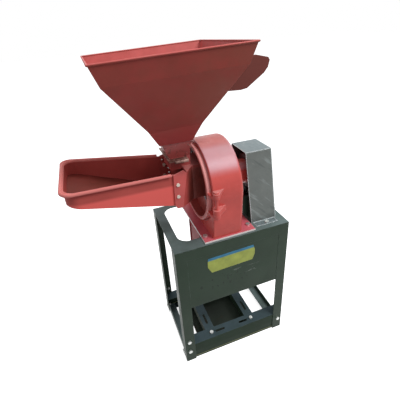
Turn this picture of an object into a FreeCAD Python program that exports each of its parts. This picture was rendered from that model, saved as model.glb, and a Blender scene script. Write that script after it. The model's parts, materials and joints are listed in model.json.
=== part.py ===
"""Disc mill with pinned discs on a folded sheet-metal stand, in millimetres.

X runs along the shaft, with the pulley at +X. Y runs from the front (-Y) to the back,
and Z is up. Places are written from the middle of the stand's footprint; every piece is
then moved along X so that the origin lies under the middle of the whole machine.
"""
import FreeCAD, Part
import math
import os
import re
import Sketcher

V = FreeCAD.Vector
Rotation = FreeCAD.Rotation
Placement = FreeCAD.Placement

# Driving dimensions. Lengths are in millimetres and angles in degrees.
SIZES = {
    # Stand of folded sheet
    "stand_width": 407,
    "stand_depth": 288,
    "stand_height": 520,
    "stand_sheet": 2,
    "top_sheet": 2.5,
    "front_leg_width": 37,
    "back_leg_width": 28,
    "leg_depth": 37,
    "window_top": 272,
    "field_drop": 38,
    "field_press": 0.8,
    "back_tie_depth": 10,
    # Rails at the foot of the stand
    "rail_top": 79,
    "rail_bottom": 1,
    "rail_crease": 38,
    "rail_web": 42,
    "rail_lean": 2,
    "side_rail_top": 45,
    "side_rail_bottom": 18,
    "side_rail_web": 30,
    "slot_width": 9,
    "left_slot_start": -100,
    "left_slot_end": -36,
    "right_slot_start": 25,
    "right_slot_end": 86,
    "left_rail_x": -91,
    "right_rail_x": 78,
    "motor_rail_width": 36,
    "motor_rail_drop": 34,
    "motor_rail_sheet": 2.5,
    "motor_rail_length": 266,
    "motor_slot_length": 48,
    "motor_slot_y": 52,
    "rail_bolt_y": 121,
    "plate_start": -130,
    "plate_end": 115,
    # Fasteners
    "bolt_radius": 4,
    "bolt_head_radius": 7.5,
    "bolt_head_depth": 5.5,
    "bolt_clearance": 0.4,
    "leg_bolt_inset": 16.5,
    "low_bolt_z": 53,
    "high_bolt_z": 105,
    # Plain sticker
    "sticker_sheet": 0.3,
    "sticker_left": -98,
    "sticker_right": 74,
    "sticker_top_drop": 57,
    "sticker_height": 61,
    "sticker_rise": 4,
    # Top plate openings
    "opening_left": -171.5,
    "opening_right": 52,
    "opening_front": -98,
    "opening_back": 122,
    "opening_round": 36,
    "belt_left": 92,
    "belt_right": 172,
    "belt_half": 75,
    # Belt guard
    "guard_left": 84,
    "guard_right": 178,
    "guard_base_half": 99.5,
    "guard_top_half": 51,
    "guard_height": 241,
    "guard_sheet": 1.5,
    "guard_foot": 24.5,
    "guard_bolt_x": 133,
    # Base plate
    "base_left": -100,
    "base_right": 78,
    "base_half": 137,
    "base_thick": 6,
    "outlet_left": -40,
    "outlet_right": 15,
    "outlet_half": 50,
    "base_bolt_left": -88,
    "base_bolt_right": 65,
    "base_bolt_front": 107,
    "base_bolt_back": 129.5,
    # Housing
    "axis_height": 148.2,
    "housing_front": -68.4,
    "housing_back": 33.7,
    "housing_radius": 142,
    "housing_front_round": 4,
    "housing_back_round": 12,
    "rim_groove_inner": 129.3,
    "rim_groove_outer": 134,
    "rim_groove_depth": 5,
    "housing_foot_half": 131,
    "chamber_radius": 127,
    "back_wall": 10,
    "funnel_half": 112,
    # Hinge of the door
    "hinge_x": -63.6,
    "hinge_y": -154.5,
    "hinge_pin_radius": 5,
    "hinge_boss_radius": 11.5,
    "running_fit": 0.05,
    "upper_lug_rise": 20.8,
    "lower_lug_drop": 44.2,
    "lug_thick": 8,
    "lower_lug_thick": 18,
    "upper_lug_end": -27,
    "lower_lug_end": -19,
    "lug_gap": 0.4,
    "hinge_head_radius": 8,
    "hinge_head_depth": 5,
    # Swing bolt that clamps the door
    "swing_x": -40,
    "swing_y": 158,
    "swing_pin_radius": 5,
    "swing_eye_radius": 9,
    "swing_eye_half": 6.5,
    "swing_lug_thick": 8,
    "swing_lug_radius": 11,
    "swing_bolt_radius": 5,
    "swing_bolt_reach": 64,
    "washer_start": 44.8,
    "washer_thick": 2,
    "washer_radius": 11,
    "nut_thick": 12,
    "nut_radius": 13,
    "clamp_slot": 12,
    "clamp_reach": 170,
    "clamp_half": 10,
    # Door
    "door_rim_radius": 128.5,
    "door_rim_depth": 12.4,
    "door_gap": 0.2,
    "door_rim_chamfer": 2,
    "ear_gap": 0.6,
    "spigot_radius": 124,
    "dish_radius": 117,
    "dish_floor": -52,
    "door_face": -44,
    "feed_hole_radius": 46,
    # Discs and claws
    "fixed_disc_radius": 100,
    "fixed_disc_thick": 8,
    "fixed_pin_ring": 80,
    "fixed_pin_radius": 5,
    "fixed_pin_length": 22,
    "fixed_pins": 16,
    "disc_screw_ring": 90,
    "disc_screw_angle": 25,
    "disc_screw_radius": 5,
    "rotor_face": 2,
    "rotor_thick": 10,
    "rotor_radius": 104,
    "rotor_hub_radius": 28,
    "rotor_hub_reach": 4,
    "claw_length": 26,
    "claw_width": 12,
    "outer_claw_start": 93,
    "outer_claw_end": 101,
    "outer_claws": 12,
    "inner_claw_start": 59,
    "inner_claw_end": 67,
    "inner_claws": 6,
    # Ring sieve
    "sieve_radius": 110,
    "sieve_sheet": 2,
    "sieve_ring_front": -42,
    "sieve_ring_thick": 4,
    "sieve_ring_bore": 105.5,
    "sieve_ring_fit": 0.5,
    "sieve_slots": 36,
    "sieve_slot_width": 5,
    "sieve_slot_margin": 8,
    # Shaft line
    "shaft_radius": 15,
    "rotor_seat_radius": 13,
    "rotor_seat_end": 20,
    "shaft_thread_radius": 10,
    "shaft_front": -20,
    "shaft_end": 174,
    "pulley_left": 110,
    "pulley_right": 165,
    "pulley_radius": 60,
    "pulley_hub_radius": 26,
    "pulley_web": 12,
    "pulley_rim": 12,
    "groove_depth": 9,
    "groove_top": 12,
    "groove_bottom": 7,
    "groove_pitch": 16,
    "key_width": 8,
    "key_height": 7,
    "shaft_nut_radius": 17,
    "shaft_nut_depth": 8,
    "bearing_radius": 31,
    "bearing_width": 16,
    "bearing_split": 23,
    "bearing_gap": 0.3,
    "front_bearing": 44,
    "rear_bearing": 84,
    "bearing_body_radius": 43,
    "bearing_flange_radius": 62,
    "bearing_flange_thick": 10,
    "bearing_body_end": 100,
    "bearing_bolt_ring": 53,
    "cap_thick": 6,
    "cap_bolt_ring": 36.5,
    "cap_bolt_radius": 3,
    "seal_bore_gap": 0.3,
    # Discharge chute
    "chute_left": -89,
    "chute_right": 40,
    "chute_half": 50,
    "chute_length": 140,
    "chute_sheet": 1.5,
    "chute_flange": 8,
    "chute_seam": 4,
    "chute_seam_drop": 12,
    # Feed box and throat
    "cheek_half": 85,
    "casting_wall": 5,
    "box_floor_drop": 34.2,
    "box_roof_rise": 80.8,
    "box_neck_x": -98,
    "box_neck_half": 50,
    "box_flange_half": 62,
    "box_flange_over": 12,
    "box_flange_thick": 6,
    "fold_top_x": -125,
    "fold_bottom_x": -144.5,
    "cheek_top_x": -166,
    "cheek_bottom_x": -169,
    "cheek_rise": 6,
    "throat_top_rise": 161.8,
    "throat_waist_rise": 111.8,
    "throat_top_x": -138.3,
    "throat_top_y": -6.9,
    "throat_top_half_x": 44,
    "throat_top_half_y": 45,
    "throat_x": -129,
    "throat_half_x": 32,
    "throat_half_y": 38,
    "spigot_height": 16,
    "spigot_half_x": 38,
    "spigot_half_y": 36,
    # Slide gate
    "gate_rise": 107.8,
    "gate_sheet": 2,
    "gate_gap": 0.3,
    "gate_left": -167,
    "gate_right": -108,
    "gate_front": -60,
    "gate_back": 72,
    "gate_grip_radius": 5.5,
    "gate_grip_left": -151,
    "gate_grip_right": -111,
    # Hopper
    "hopper_x": -149.9,
    "hopper_rise": 405.2,
    "hopper_roll": -1.64,
    "hopper_pitch": -2.63,
    "hopper_half_x": 190.4,
    "hopper_half_y": 192.4,
    "hopper_rim_radius": 2.6,
    "hopper_fold_half": 175,
    "hopper_fold_drop": 48.5,
    "hopper_slope_half": 75.4,
    "hopper_slope_drop": 194,
    "hopper_neck_half_x": 46.2,
    "hopper_neck_half_y": 44.7,
    "hopper_neck_lap": 8.6,
    "hopper_sheet": 1.5,
    # Side scoop on the hopper
    "scoop_half": 60,
    "scoop_reach": 124,
    "scoop_drop": 81,
    "scoop_foot_drop": 74,
    "scoop_gap": 0.3,
    "scoop_sheet": 1.5,
    # Feed tray
    "tray_reach": 470.5,
    "tray_mouth_x": -171,
    "tray_inner_x": -146,
    "tray_mouth_half": 80,
    "tray_outer_half": 121,
    "tray_corner": 34,
    "tray_sheet": 2,
    "tray_bead_radius": 5.2,
    "tray_bead_out": 4.6,
    "tray_rim_outer_rise": 102.3,
    "tray_rim_inner_rise": 76.3,
    "tray_end_rise": 63.6,
    "tray_floor_x": -155,
    "tray_floor_drop": 29,
}

# Places that follow from the sizes, so that what stands on a piece moves with it
PLACES = {
    "stand_bolt_x": "stand_width / 2 - leg_bolt_inset",
    "axis_z": "stand_height + base_thick + axis_height",
    "guard_top": "stand_height + guard_height",
    "sticker_top": "stand_height - sticker_top_drop",
    "chute_bottom": "stand_height - chute_length",
    "upper_lug_bottom": "axis_z + upper_lug_rise",
    "lower_lug_bottom": "axis_z - lower_lug_drop",
    "box_floor": "axis_z - box_floor_drop",
    "box_roof": "axis_z + box_roof_rise",
    "box_flange_bottom": "box_floor - box_flange_over",
    "box_flange_top": "box_roof + box_flange_over",
    "cheek_peak": "box_roof + cheek_rise",
    "throat_top": "axis_z + throat_top_rise",
    "throat_waist": "axis_z + throat_waist_rise",
    "gate_z": "axis_z + gate_rise",
    "hopper_z": "axis_z + hopper_rise",
    "hopper_neck_drop": "hopper_rise - throat_top_rise + hopper_neck_lap",
    "tray_rim_outer_z": "axis_z + tray_rim_outer_rise",
    "tray_rim_inner_z": "axis_z + tray_rim_inner_rise",
    "tray_end_z": "axis_z + tray_end_rise",
    "tray_floor_z": "axis_z - tray_floor_drop",
}

doc = FreeCAD.newDocument("DiscMill")
sizes = doc.addObject("Spreadsheet::Sheet", "Sizes")
NAMES = {**SIZES, **{alias: "=" + formula for alias, formula in PLACES.items()}}
for row, (alias, content) in enumerate(NAMES.items(), start=1):
    sizes.set(f"A{row}", alias)
    sizes.set(f"B{row}", str(content))
    sizes.setAlias(f"B{row}", alias)
doc.recompute()

WORD = re.compile(r"[A-Za-z_]\w*")

# The whole machine runs from the tray's outer bead to the heads of the side bolts.
TRAY_OUTER = "tray_bead_radius + tray_bead_out - tray_reach"
FRAME_X = "(tray_reach - stand_width / 2 - bolt_head_depth) / 2"

# Faces that several pieces share
PANEL_TOP = "stand_height - top_sheet"
SIDE = "stand_width / 2"
FRONT = "stand_depth / 2"
BASE_TOP = "stand_height + base_thick"
CHAMBER_BACK = "housing_back - back_wall"
DOOR_RIM = "housing_front - door_rim_depth"
DOOR_SEAT = "housing_front - door_gap"
FIXED_FACE = "door_face + fixed_disc_thick"
SIEVE_FRONT = "sieve_ring_front + sieve_ring_thick"
SIEVE_BACK = "housing_back - back_wall - sieve_ring_thick"
CAP_START = "bearing_body_end"
HUB_FRONT = "rotor_face - rotor_hub_reach"

subparts = []


def sized(text):
    """Point each named size in an expression at the sheet."""
    return WORD.sub(lambda word: "Sizes." + word[0] if word[0] in NAMES else word[0], str(text))


def value(text):
    """Work out an expression of named sizes."""
    return float(sizes.evalExpression(str(text)))


def keep(piece, label, place_x="0"):
    """Name a finished sub-part and move it to the machine's origin."""
    piece.Label = label
    piece.setExpression("Placement.Base.x", sized(f"{FRAME_X} + {place_x}"))
    subparts.append(piece)
    return piece


# Solids made from primitives

def box(name, x, y, z):
    """Make a block between two places along each axis."""
    block = doc.addObject("Part::Box", name)
    for size, axis, (start, end) in (("Length", "x", x), ("Width", "y", y), ("Height", "z", z)):
        block.setExpression(size, sized(f"({end}) - ({start})"))
        block.setExpression(f"Placement.Base.{axis}", sized(start))
    return block


TURNS = {
    "x": Rotation(V(0, 1, 0), 90),
    "y": Rotation(V(1, 0, 0), -90),
    "z": Rotation(),
}


def lay(piece, axis, start, across):
    """Turn a piece made along Z to an axis, and put its start there."""
    piece.Placement = Placement(V(), TURNS[axis])
    others = [name for name in "xyz" if name != axis]
    for name, place in zip([axis] + others, (start, *across)):
        piece.setExpression(f"Placement.Base.{name}", sized(place))
    return piece


def cylinder(name, axis, radius, start, end, across):
    """Make a cylinder along an axis; across gives its place on the other two axes."""
    rod = doc.addObject("Part::Cylinder", name)
    rod.setExpression("Radius", sized(radius))
    rod.setExpression("Height", sized(f"({end}) - ({start})"))
    return lay(rod, axis, start, across)


def hexagon(name, axis, radius, start, end, across):
    """Make a hexagonal prism along an axis."""
    prism = doc.addObject("Part::Prism", name)
    prism.Polygon = 6
    prism.setExpression("Circumradius", sized(radius))
    prism.setExpression("Height", sized(f"({end}) - ({start})"))
    return lay(prism, axis, start, across)


def fuse(name, pieces):
    """Join pieces into one solid."""
    joined = doc.addObject("Part::MultiFuse", name)
    joined.Shapes = pieces
    joined.Refine = True
    return joined


def cut(name, base, tools):
    """Take tools away from a base."""
    tool = tools[0]
    if len(tools) > 1:
        tool = doc.addObject("Part::MultiFuse", name + "Tools")
        tool.Shapes = tools
    left = doc.addObject("Part::Cut", name)
    left.Base = base
    left.Tool = tool
    left.Refine = True
    return left


def group(name, pieces):
    """Hold separate solids in one sub-part."""
    held = doc.addObject("Part::Compound", name)
    held.Links = pieces
    return held


def bolt(name, axis, side, start, end, across, head="bolt_head", radius="bolt_radius"):
    """Make a bolt through the sheets from start to end, with its head on the given side."""
    depth = f"{head}_depth"
    low, high = f"({start}) - {depth}", f"({end}) + {depth}"
    shank = cylinder(name + "Shank", axis, radius, low, high, across)
    first = hexagon(name + "Low", axis, f"{head}_radius", low, start, across)
    second = hexagon(name + "High", axis, f"{head}_radius", end, high, across)
    tip = f"({high}) + {depth} / 2" if side < 0 else f"({low}) - {depth} / 2"
    ends = (high, tip) if side < 0 else (tip, low)
    thread = cylinder(name + "Tip", axis, radius, *ends, across)
    return fuse(name, [shank, first, second, thread])


# Bodies made from sketches

def body(name):
    """Start a body of sketches and features."""
    return doc.addObject("PartDesign::Body", name)


def datum(owner, role):
    """Find one of a body's own planes or axes."""
    return next(item for item in owner.Origin.OriginFeatures if item.Role == role)


def sketch(owner, name, role, offset="0"):
    """Put a sketch on one of the body's planes, moved along its normal."""
    drawing = owner.newObject("Sketcher::SketchObject", name)
    drawing.AttachmentSupport = [(datum(owner, role), "")]
    drawing.MapMode = "FlatFace"
    drawing.setExpression("AttachmentOffset.Base.z", sized(offset))
    return drawing


def pin_point(drawing, element, point, place):
    """Fix a point of a sketch at a place given by expressions."""
    for kind, text in zip(("DistanceX", "DistanceY"), place):
        number = value(text)
        index = drawing.addConstraint(Sketcher.Constraint(kind, -1, 1, element, point, number))
        drawing.setExpression(f"Constraints[{index}]", sized(text))


def outline(drawing, corners):
    """Draw a closed outline with straight sides."""
    places = [V(value(u), value(v), 0) for u, v in corners]
    count = len(places)
    first = drawing.GeometryCount
    for number in range(count):
        line = Part.LineSegment(places[number], places[(number + 1) % count])
        drawing.addGeometry(line, False)
    for number in range(count):
        following = first + (number + 1) % count
        drawing.addConstraint(Sketcher.Constraint("Coincident", first + number, 2, following, 1))
    for number in range(count):
        pin_point(drawing, first + number, 1, corners[number])


def rectangle(drawing, u, v):
    """Draw a rectangle between two places along each axis."""
    outline(drawing, [(u[0], v[0]), (u[1], v[0]), (u[1], v[1]), (u[0], v[1])])


def circle(drawing, place, radius):
    """Draw a circle."""
    centre = V(value(place[0]), value(place[1]), 0)
    element = drawing.addGeometry(Part.Circle(centre, V(0, 0, 1), value(radius)), False)
    pin_point(drawing, element, 3, place)
    index = drawing.addConstraint(Sketcher.Constraint("Radius", element, value(radius)))
    drawing.setExpression(f"Constraints[{index}]", sized(radius))


def pad(owner, drawing, length):
    """Grow a sketch along its normal."""
    grown = owner.newObject("PartDesign::Pad", drawing.Name + "Pad")
    grown.Profile = drawing
    grown.setExpression("Length", sized(length))
    return grown


def pocket(owner, drawing, depth, forward=True):
    """Cut a sketch away, along its normal or against it."""
    taken = owner.newObject("PartDesign::Pocket", drawing.Name + "Pocket")
    taken.Profile = drawing
    taken.Reversed = forward
    taken.setExpression("Length", sized(depth))
    return taken


def revolve(owner, drawing):
    """Turn a sketch about its horizontal axis."""
    turned = owner.newObject("PartDesign::Revolution", drawing.Name + "Turned")
    turned.Profile = drawing
    turned.ReferenceAxis = (drawing, ["H_Axis"])
    turned.Angle = 360
    return turned


def about_x(owner, feature, count):
    """Repeat a feature round the body's X axis."""
    ring = owner.newObject("PartDesign::PolarPattern", feature.Name + "Ring")
    ring.Originals = [feature]
    ring.Axis = (datum(owner, "X_Axis"), [""])
    ring.Angle = 360
    ring.setExpression("Occurrences", sized(count))
    owner.Tip = ring
    return ring


def fillet(owner, feature, radius, chosen):
    """Round the edges of a feature that a test picks out."""
    doc.recompute()
    names = [
        f"Edge{number}"
        for number, edge in enumerate(feature.Shape.Edges, start=1)
        if chosen(edge)
    ]
    rounded = owner.newObject("PartDesign::Fillet", feature.Name + "Round")
    rounded.Base = (feature, names)
    rounded.setExpression("Radius", sized(radius))
    return rounded


def upright(edge):
    """Tell whether an edge stands along Z."""
    start, end = edge.Vertexes[0].Point, edge.Vertexes[-1].Point
    return abs(start.x - end.x) + abs(start.y - end.y) < 1e-6 < abs(start.z - end.z)


def turned(name, profile, centre_z="axis_z"):
    """Turn a profile of places along X and radii about the shaft's line."""
    piece = body(name)
    drawing = sketch(piece, name + "Profile", "XZ_Plane")
    outline(drawing, profile)
    revolve(piece, drawing)
    piece.setExpression("Placement.Base.z", sized(centre_z))
    return piece


# Stand

def front_panel():
    """Fold the front sheet: two legs with side flanges and a pressed field above the window."""
    panel = body("FrontPanel")
    plan = sketch(panel, "FrontPlan", "XY_Plane")
    outline(plan, [
        (f"-({SIDE})", f"-({FRONT})"),
        (SIDE, f"-({FRONT})"),
        (SIDE, f"leg_depth - ({FRONT})"),
        (f"{SIDE} - stand_sheet", f"leg_depth - ({FRONT})"),
        (f"{SIDE} - stand_sheet", f"stand_sheet - ({FRONT})"),
        (f"stand_sheet - ({SIDE})", f"stand_sheet - ({FRONT})"),
        (f"stand_sheet - ({SIDE})", f"leg_depth - ({FRONT})"),
        (f"-({SIDE})", f"leg_depth - ({FRONT})"),
    ])
    pad(panel, plan, PANEL_TOP)
    inner = f"{SIDE} - front_leg_width"
    back = sketch(panel, "FieldBack", "XZ_Plane", f"{FRONT} - stand_sheet - field_press")
    rectangle(back, (f"-({inner})", inner), ("window_top", f"{PANEL_TOP} - field_drop"))
    pad(panel, back, "field_press")
    window = sketch(panel, "FrontWindow", "XZ_Plane", f"{FRONT} - stand_sheet * 2")
    rectangle(window, (f"-({inner})", inner), ("-1", "window_top"))
    pocket(panel, window, "stand_sheet * 3")
    field = sketch(panel, "FieldFront", "XZ_Plane", f"{FRONT} - field_press")
    rectangle(field, (f"-({inner})", inner), ("window_top - 1", f"{PANEL_TOP} - field_drop"))
    pocket(panel, field, "field_press * 2")
    holes = [
        cylinder(f"FrontHole{number}", "y", "bolt_radius + bolt_clearance",
                 f"-({FRONT}) - 1", f"stand_sheet + 1 - ({FRONT})", place)
        for number, place in enumerate([
            ("-stand_bolt_x", "low_bolt_z"),
            ("-stand_bolt_x", "high_bolt_z"),
            ("stand_bolt_x", "low_bolt_z"),
        ])
    ]
    keep(cut("FrontPanelCut", panel, holes + side_holes("Front", -1)), "front_panel")


def side_holes(name, end):
    """Make the bores for the side rail bolts in one pair of legs."""
    return [
        cylinder(f"{name}SideHole{side}", "x", "bolt_radius + bolt_clearance",
                 f"{SIDE} - stand_sheet - 1" if side > 0 else f"-({SIDE}) - 1",
                 f"{SIDE} + 1" if side > 0 else f"stand_sheet + 1 - ({SIDE})",
                 (SIDE_BOLT_Y if end > 0 else f"-({SIDE_BOLT_Y})", SIDE_BOLT_Z))
        for side in (1, -1)
    ]


SIDE_BOLT_Y = "stand_depth / 2 - leg_depth * 0.7"
SIDE_BOLT_Z = "(side_rail_bottom + side_rail_top) / 2"


def back_frame():
    """Fold the open back frame: two legs with side flanges and a narrow tie at the top."""
    frame = body("BackFrame")
    plan = sketch(frame, "BackPlan", "XY_Plane")
    outline(plan, [
        (f"-({SIDE})", f"{FRONT} - leg_depth"),
        (f"stand_sheet - ({SIDE})", f"{FRONT} - leg_depth"),
        (f"stand_sheet - ({SIDE})", f"{FRONT} - stand_sheet"),
        (f"{SIDE} - stand_sheet", f"{FRONT} - stand_sheet"),
        (f"{SIDE} - stand_sheet", f"{FRONT} - leg_depth"),
        (SIDE, f"{FRONT} - leg_depth"),
        (SIDE, FRONT),
        (f"-({SIDE})", FRONT),
    ])
    pad(frame, plan, PANEL_TOP)
    inner = f"{SIDE} - back_leg_width"
    window = sketch(frame, "BackWindow", "XZ_Plane", f"-({FRONT}) - stand_sheet")
    rectangle(window, (f"-({inner})", inner), ("-1", f"{PANEL_TOP} - back_tie_depth"))
    pocket(frame, window, "stand_sheet * 3")
    holes = [
        cylinder(f"BackHole{number}", "y", "bolt_radius + bolt_clearance",
                 f"{FRONT} - stand_sheet - 1", f"{FRONT} + 1", place)
        for number, place in enumerate([
            ("-stand_bolt_x", "low_bolt_z"),
            ("-stand_bolt_x", "high_bolt_z"),
            ("stand_bolt_x", "low_bolt_z"),
        ])
    ]
    keep(cut("BackFrameCut", frame, holes + side_holes("Back", 1)), "back_frame")


def top_plate():
    """Cut the top sheet: a large round-cornered opening and a slot for the belts."""
    plate = body("TopPlate")
    face = sketch(plate, "TopFace", "XY_Plane", PANEL_TOP)
    rectangle(face, (f"-({SIDE})", SIDE), (f"-({FRONT})", FRONT))
    pad(plate, face, "top_sheet")
    opening = sketch(plate, "TopOpening", "XY_Plane", f"{PANEL_TOP} - 1")
    rectangle(opening, ("opening_left", "opening_right"), ("opening_front", "opening_back"))
    taken = pocket(plate, opening, "top_sheet + 2")
    reach = value(SIDE)

    def corner(edge):
        return upright(edge) and abs(edge.Vertexes[0].X) < reach - 1

    fillet(plate, taken, "opening_round", corner)
    belt = sketch(plate, "BeltOpening", "XY_Plane", f"{PANEL_TOP} - 1")
    rectangle(belt, ("belt_left", "belt_right"), ("-belt_half", "belt_half"))
    pocket(plate, belt, "top_sheet + 2")
    bores = sketch(plate, "TopBores", "XY_Plane", f"{PANEL_TOP} - 1")
    for place in BASE_BOLTS + GUARD_BOLTS:
        circle(bores, place, "bolt_radius + bolt_clearance")
    pocket(plate, bores, "top_sheet + 2")
    keep(plate, "top_plate")


BASE_BOLTS = [
    ("base_bolt_left", "-base_bolt_front"),
    ("base_bolt_right", "-base_bolt_front"),
    ("base_bolt_left", "base_bolt_back"),
    ("base_bolt_right", "base_bolt_back"),
]

GUARD_BOLT_Y = "guard_base_half + guard_foot * 0.64"
GUARD_BOLTS = [
    ("guard_bolt_x", f"-({GUARD_BOLT_Y})"),
    ("guard_bolt_x", GUARD_BOLT_Y),
]


def bottom_rail(label, name, side):
    """Fold the channel that ties two legs, with the slots of both motor rails in its web."""
    rail = body(name)
    outer = f"{FRONT} - stand_sheet"
    leaning = f"{outer} - rail_lean"
    profile = sketch(rail, name + "Profile", "YZ_Plane", f"stand_sheet - ({SIDE})")
    outline(profile, [
        (f"{side} * ({FRONT} - rail_web - stand_sheet)", "rail_top"),
        (f"{side} * ({outer})", "rail_top"),
        (f"{side} * ({outer})", "rail_crease"),
        (f"{side} * ({leaning})", "rail_bottom"),
        (f"{side} * ({leaning} - rail_web * 0.6)", "rail_bottom"),
        (f"{side} * ({leaning} - rail_web * 0.6)", "rail_bottom + stand_sheet"),
        (f"{side} * ({leaning} - stand_sheet)", "rail_bottom + stand_sheet"),
        (f"{side} * ({outer} - stand_sheet)", "rail_crease"),
        (f"{side} * ({outer} - stand_sheet)", "rail_top - stand_sheet"),
        (f"{side} * ({FRONT} - rail_web - stand_sheet)", "rail_top - stand_sheet"),
    ])
    pad(rail, profile, "stand_width - stand_sheet * 2")
    slots = sketch(rail, name + "Slots", "XY_Plane", "rail_top - stand_sheet * 2")
    for start, end in (("left_slot_start", "left_slot_end"), ("right_slot_start", "right_slot_end")):
        rectangle(slots, (start, end), (f"{side} * rail_bolt_y - slot_width / 2",
                                        f"{side} * rail_bolt_y + slot_width / 2"))
    taken = pocket(rail, slots, "stand_sheet * 3")

    def slot_corner(edge):
        return upright(edge) and abs(edge.Length - value("stand_sheet")) < 1e-6

    fillet(rail, taken, "slot_width / 2 - 0.01", slot_corner)
    bores = sketch(rail, name + "Bores", "XZ_Plane", f"{-side} * ({outer}) - stand_sheet * 2")
    for end in ("-stand_bolt_x", "stand_bolt_x"):
        circle(bores, (end, "low_bolt_z"), "bolt_radius + bolt_clearance")
    pocket(rail, bores, "stand_sheet * 4")
    keep(rail, label)


def side_rails():
    """Fold the angle that ties the front and back legs on each side."""
    for label, side in (("side_rail_left", -1), ("side_rail_right", 1)):
        rail = body(f"SideRail{side + 1}")
        reach = f"{SIDE} - stand_sheet"
        profile = sketch(rail, f"SideProfile{side + 1}", "XZ_Plane", f"-({FRONT}) + leg_depth * 0.4")
        outline(profile, [
            (f"{side} * ({reach})", "side_rail_bottom"),
            (f"{side} * ({reach})", "side_rail_top"),
            (f"{side} * ({reach} - stand_sheet)", "side_rail_top"),
            (f"{side} * ({reach} - stand_sheet)", "side_rail_bottom + stand_sheet"),
            (f"{side} * ({reach} - side_rail_web)", "side_rail_bottom + stand_sheet"),
            (f"{side} * ({reach} - side_rail_web)", "side_rail_bottom"),
        ])
        pad(rail, profile, f"2 * ({FRONT} - leg_depth * 0.4)")
        bores = [
            cylinder(f"SideBore{side + 1}{end + 1}", "x", "bolt_radius + bolt_clearance",
                     f"{side} * ({SIDE} - stand_sheet) - 5", f"{side} * ({SIDE} - stand_sheet) + 5",
                     (f"{end} * ({SIDE_BOLT_Y})", SIDE_BOLT_Z))
            for end in (-1, 1)
        ]
        keep(cut(f"SideRailCut{side + 1}", rail, bores), label)


def bottom_plate():
    """Lay the plain sheet that lies on the lower flanges of both rails."""
    plate = body("BottomPlate")
    reach = f"{FRONT} - stand_sheet * 2 - rail_lean - 1"
    face = sketch(plate, "BottomFace", "XY_Plane", "rail_bottom + stand_sheet")
    rectangle(face, ("plate_start", "plate_end"), (f"-({reach})", reach))
    pad(plate, face, "stand_sheet")
    keep(plate, "bottom_plate")


def motor_rails():
    """Fold the two rails that a motor is bolted to, and the bolts that ride in the slots."""
    for label, name, centre, long_side in (
        ("motor_rail_left", "LeftRail", "left_rail_x", 1),
        ("motor_rail_right", "RightRail", "right_rail_x", -1),
    ):
        rail = body(name)
        top = "rail_top - stand_sheet"
        half = "motor_rail_width / 2"
        start = "-motor_rail_length / 2"
        profile = sketch(rail, name + "Profile", "XZ_Plane", start)
        outline(profile, [
            (f"{centre} - {half}", top),
            (f"{centre} - {half}", f"{top} - motor_rail_drop"),
            (f"{centre} - {half} + motor_rail_sheet", f"{top} - motor_rail_drop"),
            (f"{centre} - {half} + motor_rail_sheet", f"{top} - motor_rail_sheet"),
            (f"{centre} + {half} - motor_rail_sheet", f"{top} - motor_rail_sheet"),
            (f"{centre} + {half} - motor_rail_sheet", f"{top} - motor_rail_drop"),
            (f"{centre} + {half}", f"{top} - motor_rail_drop"),
            (f"{centre} + {half}", top),
        ])
        pad(rail, profile, "motor_rail_length")
        slots = sketch(rail, name + "Slots", "XY_Plane", f"{top} - motor_rail_sheet - 1")
        for side in (-1, 1):
            middle = f"{side} * motor_slot_y"
            rectangle(slots, (f"{centre} - slot_width / 2", f"{centre} + slot_width / 2"),
                      (f"{middle} - motor_slot_length / 2", f"{middle} + motor_slot_length / 2"))
            circle(slots, (centre, f"{side} * rail_bolt_y"), "bolt_radius + bolt_clearance")
        taken = pocket(rail, slots, "motor_rail_sheet + 2")
        start_y, end_y = value(f"-({start}) - 1") * -1, value(f"-({start}) - 1")

        def slot_corner(edge):
            inside = start_y < edge.Vertexes[0].Y < end_y
            straight = isinstance(edge.Curve, Part.Line)
            short = abs(edge.Length - value("motor_rail_sheet")) < 1e-6
            return upright(edge) and inside and straight and short and len(edge.Vertexes) == 2

        fillet(rail, taken, "slot_width / 2 - 0.01", slot_corner)
        keep(rail, label)
        bolts = [
            bolt(f"{name}Bolt{side + 1}", "z", 1, f"{top} - motor_rail_sheet",
                 "rail_top", (centre, f"{side} * rail_bolt_y"))
            for side in (-1, 1)
        ]
        keep(group(name + "Bolts", bolts), label + "_bolts")


def stand_bolts():
    """Bolt the legs to the rails."""
    face, seat = FRONT, f"{FRONT} - stand_sheet * 2"
    single = f"{FRONT} - stand_sheet"
    bolts = []
    for number, (place, height, inner) in enumerate([
        ("-stand_bolt_x", "low_bolt_z", seat),
        ("stand_bolt_x", "low_bolt_z", seat),
        ("-stand_bolt_x", "high_bolt_z", single),
    ]):
        bolts.append(bolt(f"FrontBolt{number}", "y", -1, f"-({face})", f"-({inner})", (place, height)))
        bolts.append(bolt(f"BackBolt{number}", "y", 1, inner, face, (place, height)))
    for side in (-1, 1):
        for end in (-1, 1):
            low, high = f"{SIDE} - stand_sheet * 2", SIDE
            if side < 0:
                low, high = f"-({SIDE})", f"stand_sheet * 2 - ({SIDE})"
            bolts.append(bolt(f"SideBolt{side + 1}{end + 1}", "x", side, low, high,
                              (f"{end} * ({SIDE_BOLT_Y})", SIDE_BOLT_Z)))
    keep(group("StandBolts", bolts), "stand_bolts")


def sticker():
    """Lay the plain sticker on the pressed field."""
    sheet = body("Sticker")
    drawing = sketch(sheet, "StickerOutline", "XZ_Plane", f"{FRONT} - field_press")
    outline(drawing, [
        ("sticker_right - 6", "sticker_top + sticker_rise"),
        ("sticker_left + 2", "sticker_top"),
        ("sticker_left", "sticker_top - 16"),
        ("sticker_left", "sticker_top - 36"),
        ("sticker_left + 13", "sticker_top - sticker_height"),
        ("sticker_right - 9", "sticker_top - sticker_height + sticker_rise"),
        ("sticker_right", "sticker_top - sticker_height + sticker_rise + 22"),
        ("sticker_right", "sticker_top + sticker_rise - 20"),
    ])
    pad(sheet, drawing, "sticker_sheet")
    keep(sheet, "sticker")


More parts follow.
